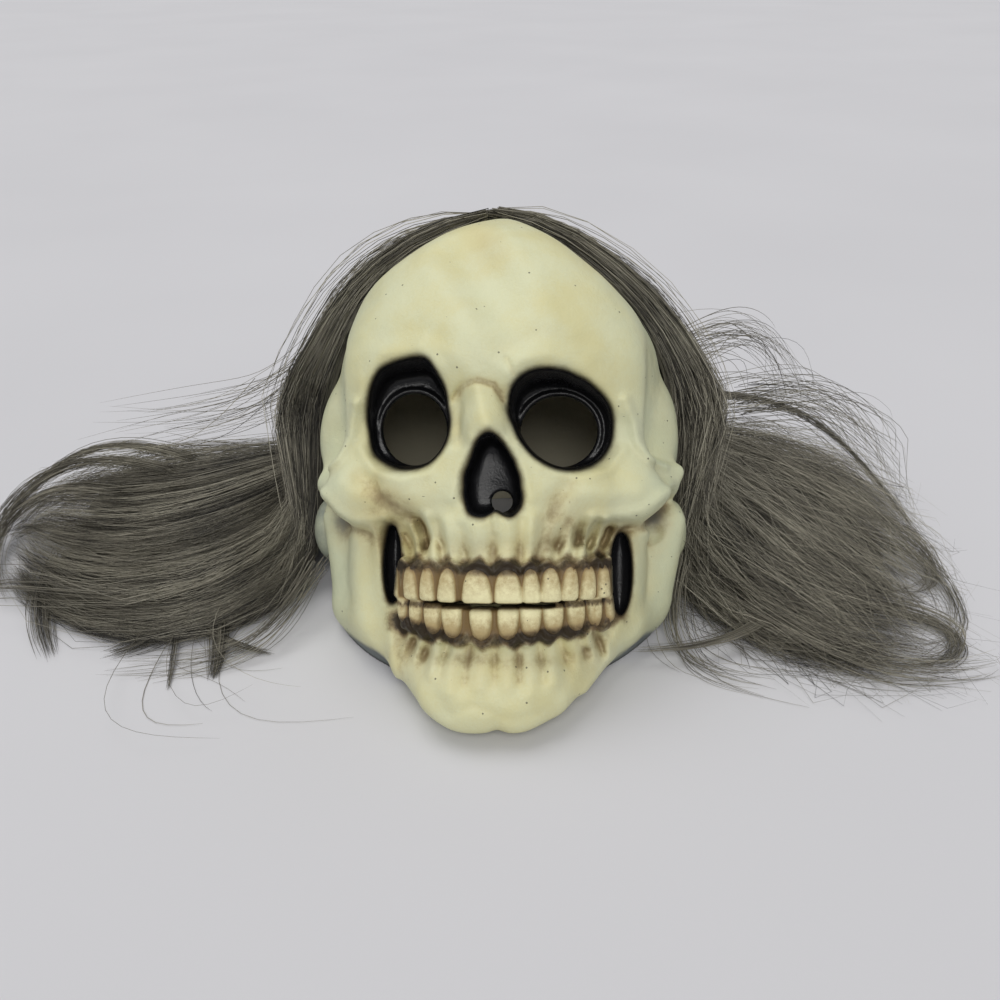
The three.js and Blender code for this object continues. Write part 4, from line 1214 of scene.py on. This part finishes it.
def airbrush_group():
    """Uneven cover of sprayed paint: breaks up a mask with streaks and mottling."""
    inputs = {"Mask": 0.0, "Scale": 120.0, "Break Up": 0.5}
    tree, start, end = new_group("airbrush", inputs, ["Mask"])
    at = place_of(tree)
    mottle = noise(tree, at, start.outputs["Scale"], 6.0, 0.7)
    signed = math_node(tree, "MULTIPLY_ADD", mottle, 2.0, -1.0)
    change = math_node(tree, "MULTIPLY", signed, start.outputs["Break Up"])
    mask = start.outputs["Mask"]
    edge = math_node(tree, "MULTIPLY", math_node(tree, "SUBTRACT", 1.0, mask), mask)
    spread = math_node(tree, "MULTIPLY", edge, 4.0)
    result = math_node(tree, "MULTIPLY_ADD", change, spread, mask, clamp=True)
    tree.links.new(result, end.inputs["Mask"])
    return tree


IVORY = (0.67, 0.635, 0.35)
IVORY_PALE = (0.69, 0.70, 0.465)
# darker, greener ivory for the sides: painted shade
IVORY_SIDE_SHADE = (0.53, 0.57, 0.40)
IVORY_WARM = (0.56, 0.43, 0.19)
TOOTH_CREAM = (0.88, 0.83, 0.50)
TOOTH_BROWN = (0.36, 0.25, 0.10)
TOOTH_GAP = (0.19, 0.125, 0.05)
HALO_BROWN = (0.10, 0.072, 0.036)
BROWN = (0.17, 0.115, 0.055)
GUM_BLACK = (0.020, 0.013, 0.006)
GLOSS_BLACK = (0.008, 0.008, 0.009)
SLATE = (0.15, 0.17, 0.165)
RAW_LATEX = (0.62, 0.58, 0.44)
SPECK = (0.05, 0.045, 0.035)
# near black at the table: rim paint and painted contact shadow
RIM_BLACK_AND_SHADOW = (0.03, 0.03, 0.03)


def bone_material():
    """Pale sprayed latex with brown stains, gloss black hollows and specks, and painted shade in
    recesses, on the sides, in the jaw notches, along the slit and at the table.
    """
    material, tree, shader = new_material("painted_bone_latex")
    grain = use_group(tree, paint_grain_group())
    specks = use_group(tree, specks_group())
    brush = airbrush_group()

    def sprayed(mask, scale, break_up):
        return use_group(tree, brush, Mask=mask, Scale=scale, Break_Up=break_up).outputs[0]

    def times(mask, factor):
        return math_node(tree, "MULTIPLY", mask, factor, clamp=True)

    # cover of brown: the stains, with painted shade from the recess mask
    stain_and_shade = math_node(tree, "MULTIPLY_ADD", attribute(tree, "recess_stain_and_shade"), 0.6, attribute(tree, "stain_and_shade"))
    stain_and_shade = math_node(tree, "SUBTRACT", stain_and_shade, 0.12, clamp=True)
    stain_and_shade = sprayed(stain_and_shade, 150.0, 0.45)
    crown = range_node(tree, attribute(tree, "tooth"), 0.46, 0.6)
    gum_edge = math_node(tree, "MULTIPLY_ADD", crown, -0.32, attribute(tree, "gum"), clamp=True)
    gum = sprayed(gum_edge, 500.0, 0.3)
    halo = math_node(tree, "POWER", sprayed(attribute(tree, "halo"), 260.0, 0.35), 2.2)
    gloss = sprayed(attribute(tree, "gloss"), 400.0, 0.16)
    tone = range_node(tree, grain.outputs["Tone"], 0.45, 0.85)
    cream = math_node(tree, "MULTIPLY_ADD", grain.outputs["Tone"], -0.22, attribute(tree, "tooth"))
    enamel = mix_colour(tree, range_node(tree, cream, 0.36, 0.66), TOOTH_BROWN, TOOTH_CREAM)
    dirt = sprayed(attribute(tree, "dirt"), 330.0, 0.9)
    enamel = mix_colour(tree, times(dirt, 0.85), enamel, TOOTH_BROWN)
    # brown in the crowns' recesses: dirt together with painted shade
    tooth_dirt_and_shade = math_node(tree, "MULTIPLY", crown, attribute(tree, "recess_stain_and_shade"))
    colour = mix_colour(tree, tone, IVORY, IVORY_PALE)
    # each coat's cover and colour, from the first one laid to the last; the coats marked below hold
    # painted shade
    coats = (
        # painted shade: the sides darker and greener
        (sprayed(attribute(tree, "side"), 40.0, 0.6), IVORY_SIDE_SHADE),
        # brown stains together with painted shade in the recesses and hollows
        (times(stain_and_shade, 0.6), IVORY_WARM),
        (range_node(tree, stain_and_shade, 0.35, 1.05, 0.0, 0.8), BROWN),
        (sprayed(attribute(tree, "gap"), 380.0, 0.7), TOOTH_GAP),
        (crown, enamel),
        # dirt and painted shade in the crowns' recesses
        (times(tooth_dirt_and_shade, 0.5), BROWN),
        (times(halo, 0.85), HALO_BROWN),
        # dark grey neck paint, and painted shade in the jaw notches
        (sprayed(attribute(tree, "slate"), 90.0, 0.5), SLATE),
        # the gum band's brown and black paint, with near-black painted shade along the slit between the
        # rows
        (range_node(tree, gum, 0.0, 0.5, 0.0, 0.85), BROWN),
        (range_node(tree, gum, 0.35, 0.8, 0.0, 0.94), GUM_BLACK),
        (times(specks.outputs[0], 0.75), SPECK),
        (gloss, GLOSS_BLACK),
        # near black at the table: the neck paint's rim and painted contact shadow
        (attribute(tree, "edge"), RIM_BLACK_AND_SHADOW),
        (attribute(tree, "inside"), RAW_LATEX),
    )
    for cover, paint in coats:
        colour = mix_colour(tree, cover, colour, paint)
    tree.links.new(colour, shader.inputs["Base Color"])
    rough = math_node(tree, "MULTIPLY_ADD", grain.outputs["Tone"], 0.12, 0.42)
    rough = math_node(tree, "MULTIPLY_ADD", gloss, -0.24, rough, clamp=True)
    tree.links.new(rough, shader.inputs["Roughness"])
    shader.inputs["Specular IOR Level"].default_value = 0.28
    coat = math_node(tree, "MULTIPLY", gloss, 0.05)
    tree.links.new(coat, shader.inputs["Coat Weight"])
    shader.inputs["Coat Roughness"].default_value = 0.12
    pits = math_node(tree, "MULTIPLY_ADD", specks.outputs[0], -0.6, grain.outputs["Height"])
    grainy = bump(tree, pits, 0.35, 0.0006)
    clay = noise(tree, place_of(tree), 75.0, 4.0)
    clay = math_node(tree, "MULTIPLY", clay, math_node(tree, "SUBTRACT", 1.0, gloss))
    tree.links.new(bump(tree, clay, 0.4, 0.0025, Normal=grainy), shader.inputs["Normal"])
    return material


HAIR_DARK = (0.026, 0.024, 0.019)
HAIR_MID = (0.18, 0.166, 0.128)
HAIR_LIGHT = (0.43, 0.405, 0.32)


def hair_colour(tree, shade):
    colour = mix_colour(tree, range_node(tree, shade, 0.0, 0.55), HAIR_DARK, HAIR_MID)
    return mix_colour(tree, range_node(tree, shade, 0.45, 1.0), colour, HAIR_LIGHT)


def strand_material():
    """Dull grey synthetic hair, each strand with its own shade."""
    material, tree, shader = new_material("loose_grey_hair")
    at = place_of(tree)
    patch = noise(tree, at, 30.0, 3.0)
    shade = math_node(tree, "MULTIPLY_ADD", patch, 0.7, attribute(tree, "shade"))
    shade = math_node(tree, "SUBTRACT", shade, 0.33, clamp=True)
    tree.links.new(hair_colour(tree, shade), shader.inputs["Base Color"])
    fleck = noise(tree, at, 700.0, 2.0)
    tree.links.new(math_node(tree, "MULTIPLY_ADD", fleck, 0.2, 0.38), shader.inputs["Roughness"])
    shader.inputs["Specular IOR Level"].default_value = 0.45
    return material


def bed_material():
    """The mass of hair under the loose strands, streaked and ridged along its lanes, and kept much darker
    than them as painted shade of the hair's depth.
    """
    material, tree, shader = new_material("matted_under_hair")
    at = place_of(tree)
    lane, reach = attribute(tree, "lane"), attribute(tree, "reach")
    streaks = []
    for across, along, detail in ((420.0, 7.0, 3.0), (90.0, 3.0, 2.0)):
        wide = math_node(tree, "MULTIPLY", lane, across)
        long = math_node(tree, "MULTIPLY", reach, along)
        place = put(tree, "ShaderNodeCombineXYZ", {"X": wide, "Y": long}).outputs[0]
        streaks.append(noise(tree, place, 1.0, detail))
    fine, broad = streaks
    patch = noise(tree, at, 24.0, 3.0)
    shade = math_node(tree, "MULTIPLY_ADD", fine, 1.3, math_node(tree, "MULTIPLY", broad, 0.8))
    shade = math_node(tree, "MULTIPLY_ADD", patch, 0.5, shade)
    # most of the mass falls to the dark end: painted shade of the depth under the strands
    shade = math_node(tree, "SUBTRACT", shade, 1.1, clamp=True)
    tree.links.new(hair_colour(tree, shade), shader.inputs["Base Color"])
    tree.links.new(math_node(tree, "MULTIPLY_ADD", fine, 0.2, 0.42), shader.inputs["Roughness"])
    height = math_node(tree, "MULTIPLY_ADD", broad, 1.6, fine)
    tree.links.new(bump(tree, height, 0.9, 0.0014), shader.inputs["Normal"])
    return material


def floor_material():
    material, tree, shader = new_material("pale_floor")
    at = place_of(tree)
    tone = noise(tree, at, 2.0, 3.0)
    colour = mix_colour(tree, tone, (0.60, 0.60, 0.62), (0.66, 0.66, 0.68))
    tree.links.new(colour, shader.inputs["Base Color"])
    shader.inputs["Roughness"].default_value = 0.9
    return material


# Camera, lights and floor

CAMERA_TURN = math.radians(3)
CAMERA_DOWN = math.radians(30)
CAMERA_ROLL = math.radians(-1.2)
CAMERA_HEIGHT = 0.362
CAMERA_AWAY = 0.5376
CAMERA_LENS = 36.1


def make_camera():
    bpy.ops.object.camera_add()
    camera = bpy.context.object
    camera.name = "photo_view"
    sin, cos = math.sin(CAMERA_TURN), math.cos(CAMERA_TURN)
    forward = Vector((-sin * math.cos(CAMERA_DOWN), cos * math.cos(CAMERA_DOWN), -math.sin(CAMERA_DOWN)))
    right = Vector((cos, sin, 0))
    up = right.cross(forward)
    right_rolled = right * math.cos(CAMERA_ROLL) + up * math.sin(CAMERA_ROLL)
    up_rolled = up * math.cos(CAMERA_ROLL) - right * math.sin(CAMERA_ROLL)
    turn = Matrix((right_rolled, up_rolled, -forward)).transposed()
    spot = Vector((HEAD[0] + CAMERA_AWAY * sin, HEAD[1] - CAMERA_AWAY * cos, CAMERA_HEIGHT))
    camera.matrix_world = Matrix.Translation(spot) @ turn.to_4x4()
    camera.data.lens = CAMERA_LENS
    camera.data.sensor_width = 36
    camera.data.clip_start = 0.01
    bpy.context.scene.camera = camera


def make_light(name, place, spread, power, colour):
    """A broad soft light from afar, from the direction of a place."""
    bpy.ops.object.light_add(type="SUN", location=place)
    lamp = bpy.context.object
    lamp.name = name
    lamp.data.angle = spread
    lamp.data.energy = power
    lamp.data.color = colour
    aim = Vector((HEAD[0], HEAD[1], 0.08)) - Vector(place)
    lamp.rotation_euler = aim.to_track_quat("-Z", "Y").to_euler()


def make_stage():
    bpy.ops.mesh.primitive_plane_add(size=24, location=(0, 4, 0))
    floor = bpy.context.object
    floor.name = "table_top"
    floor.data.materials.append(floor_material())
    world = bpy.data.worlds.new("soft_room")
    bpy.context.scene.world = world
    world.use_nodes = True
    world.node_tree.nodes["Background"].inputs["Color"].default_value = (0.80, 0.80, 0.84, 1)
    world.node_tree.nodes["Background"].inputs["Strength"].default_value = 0.40
    make_light("ceiling", (-0.25, 0.3, 1.3), math.radians(45), 1.12, (1, 0.99, 0.97))
    make_light("window", (0.12, -0.98, 1.0), math.radians(30), 1.35, (1, 0.99, 0.97))
    bpy.context.scene.view_settings.view_transform = "Standard"
    bpy.ops.object.select_all(action="DESELECT")


def finish_piece(piece, material, slot, *nodes):
    piece.data.materials.clear()
    piece.data.materials.append(material)
    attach(piece, "root")
    if nodes:
        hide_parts(*nodes)


make_camera()
make_stage()
finish_piece(make_skull(), bone_material(), "bone_latex", "skull_shell")

BED_HAIR = bed_material()
TOP_HAIR = strand_material()
STRANDS = 1900
STRAND_STEPS = 14
LOCK_SEED = 5
# Each side's word, seed, how far its locks wander, the share of loose strands and their tone
SIDES = [(-1, "left", 11, 0.0045, 0.15, 0.5), (1, "right", 23, 0.010, 0.32, 0.58)]
for side, word, seed, wander, loose, tone in SIDES:
    finish_piece(make_bed(side, f"hair_bed_{word}", seed), BED_HAIR, "grey_hair", f"hair_{word}")
    for part in range(2):
        paths = strand_paths(side, STRANDS, STRAND_STEPS, seed + part, wander, loose, tone)
        finish_piece(hair_tubes(f"hair_{word}_{part + 1}", *paths), TOP_HAIR, "grey_hair")
finish_piece(make_locks("hair_loose_locks", STRAND_STEPS, LOCK_SEED), TOP_HAIR, "grey_hair")
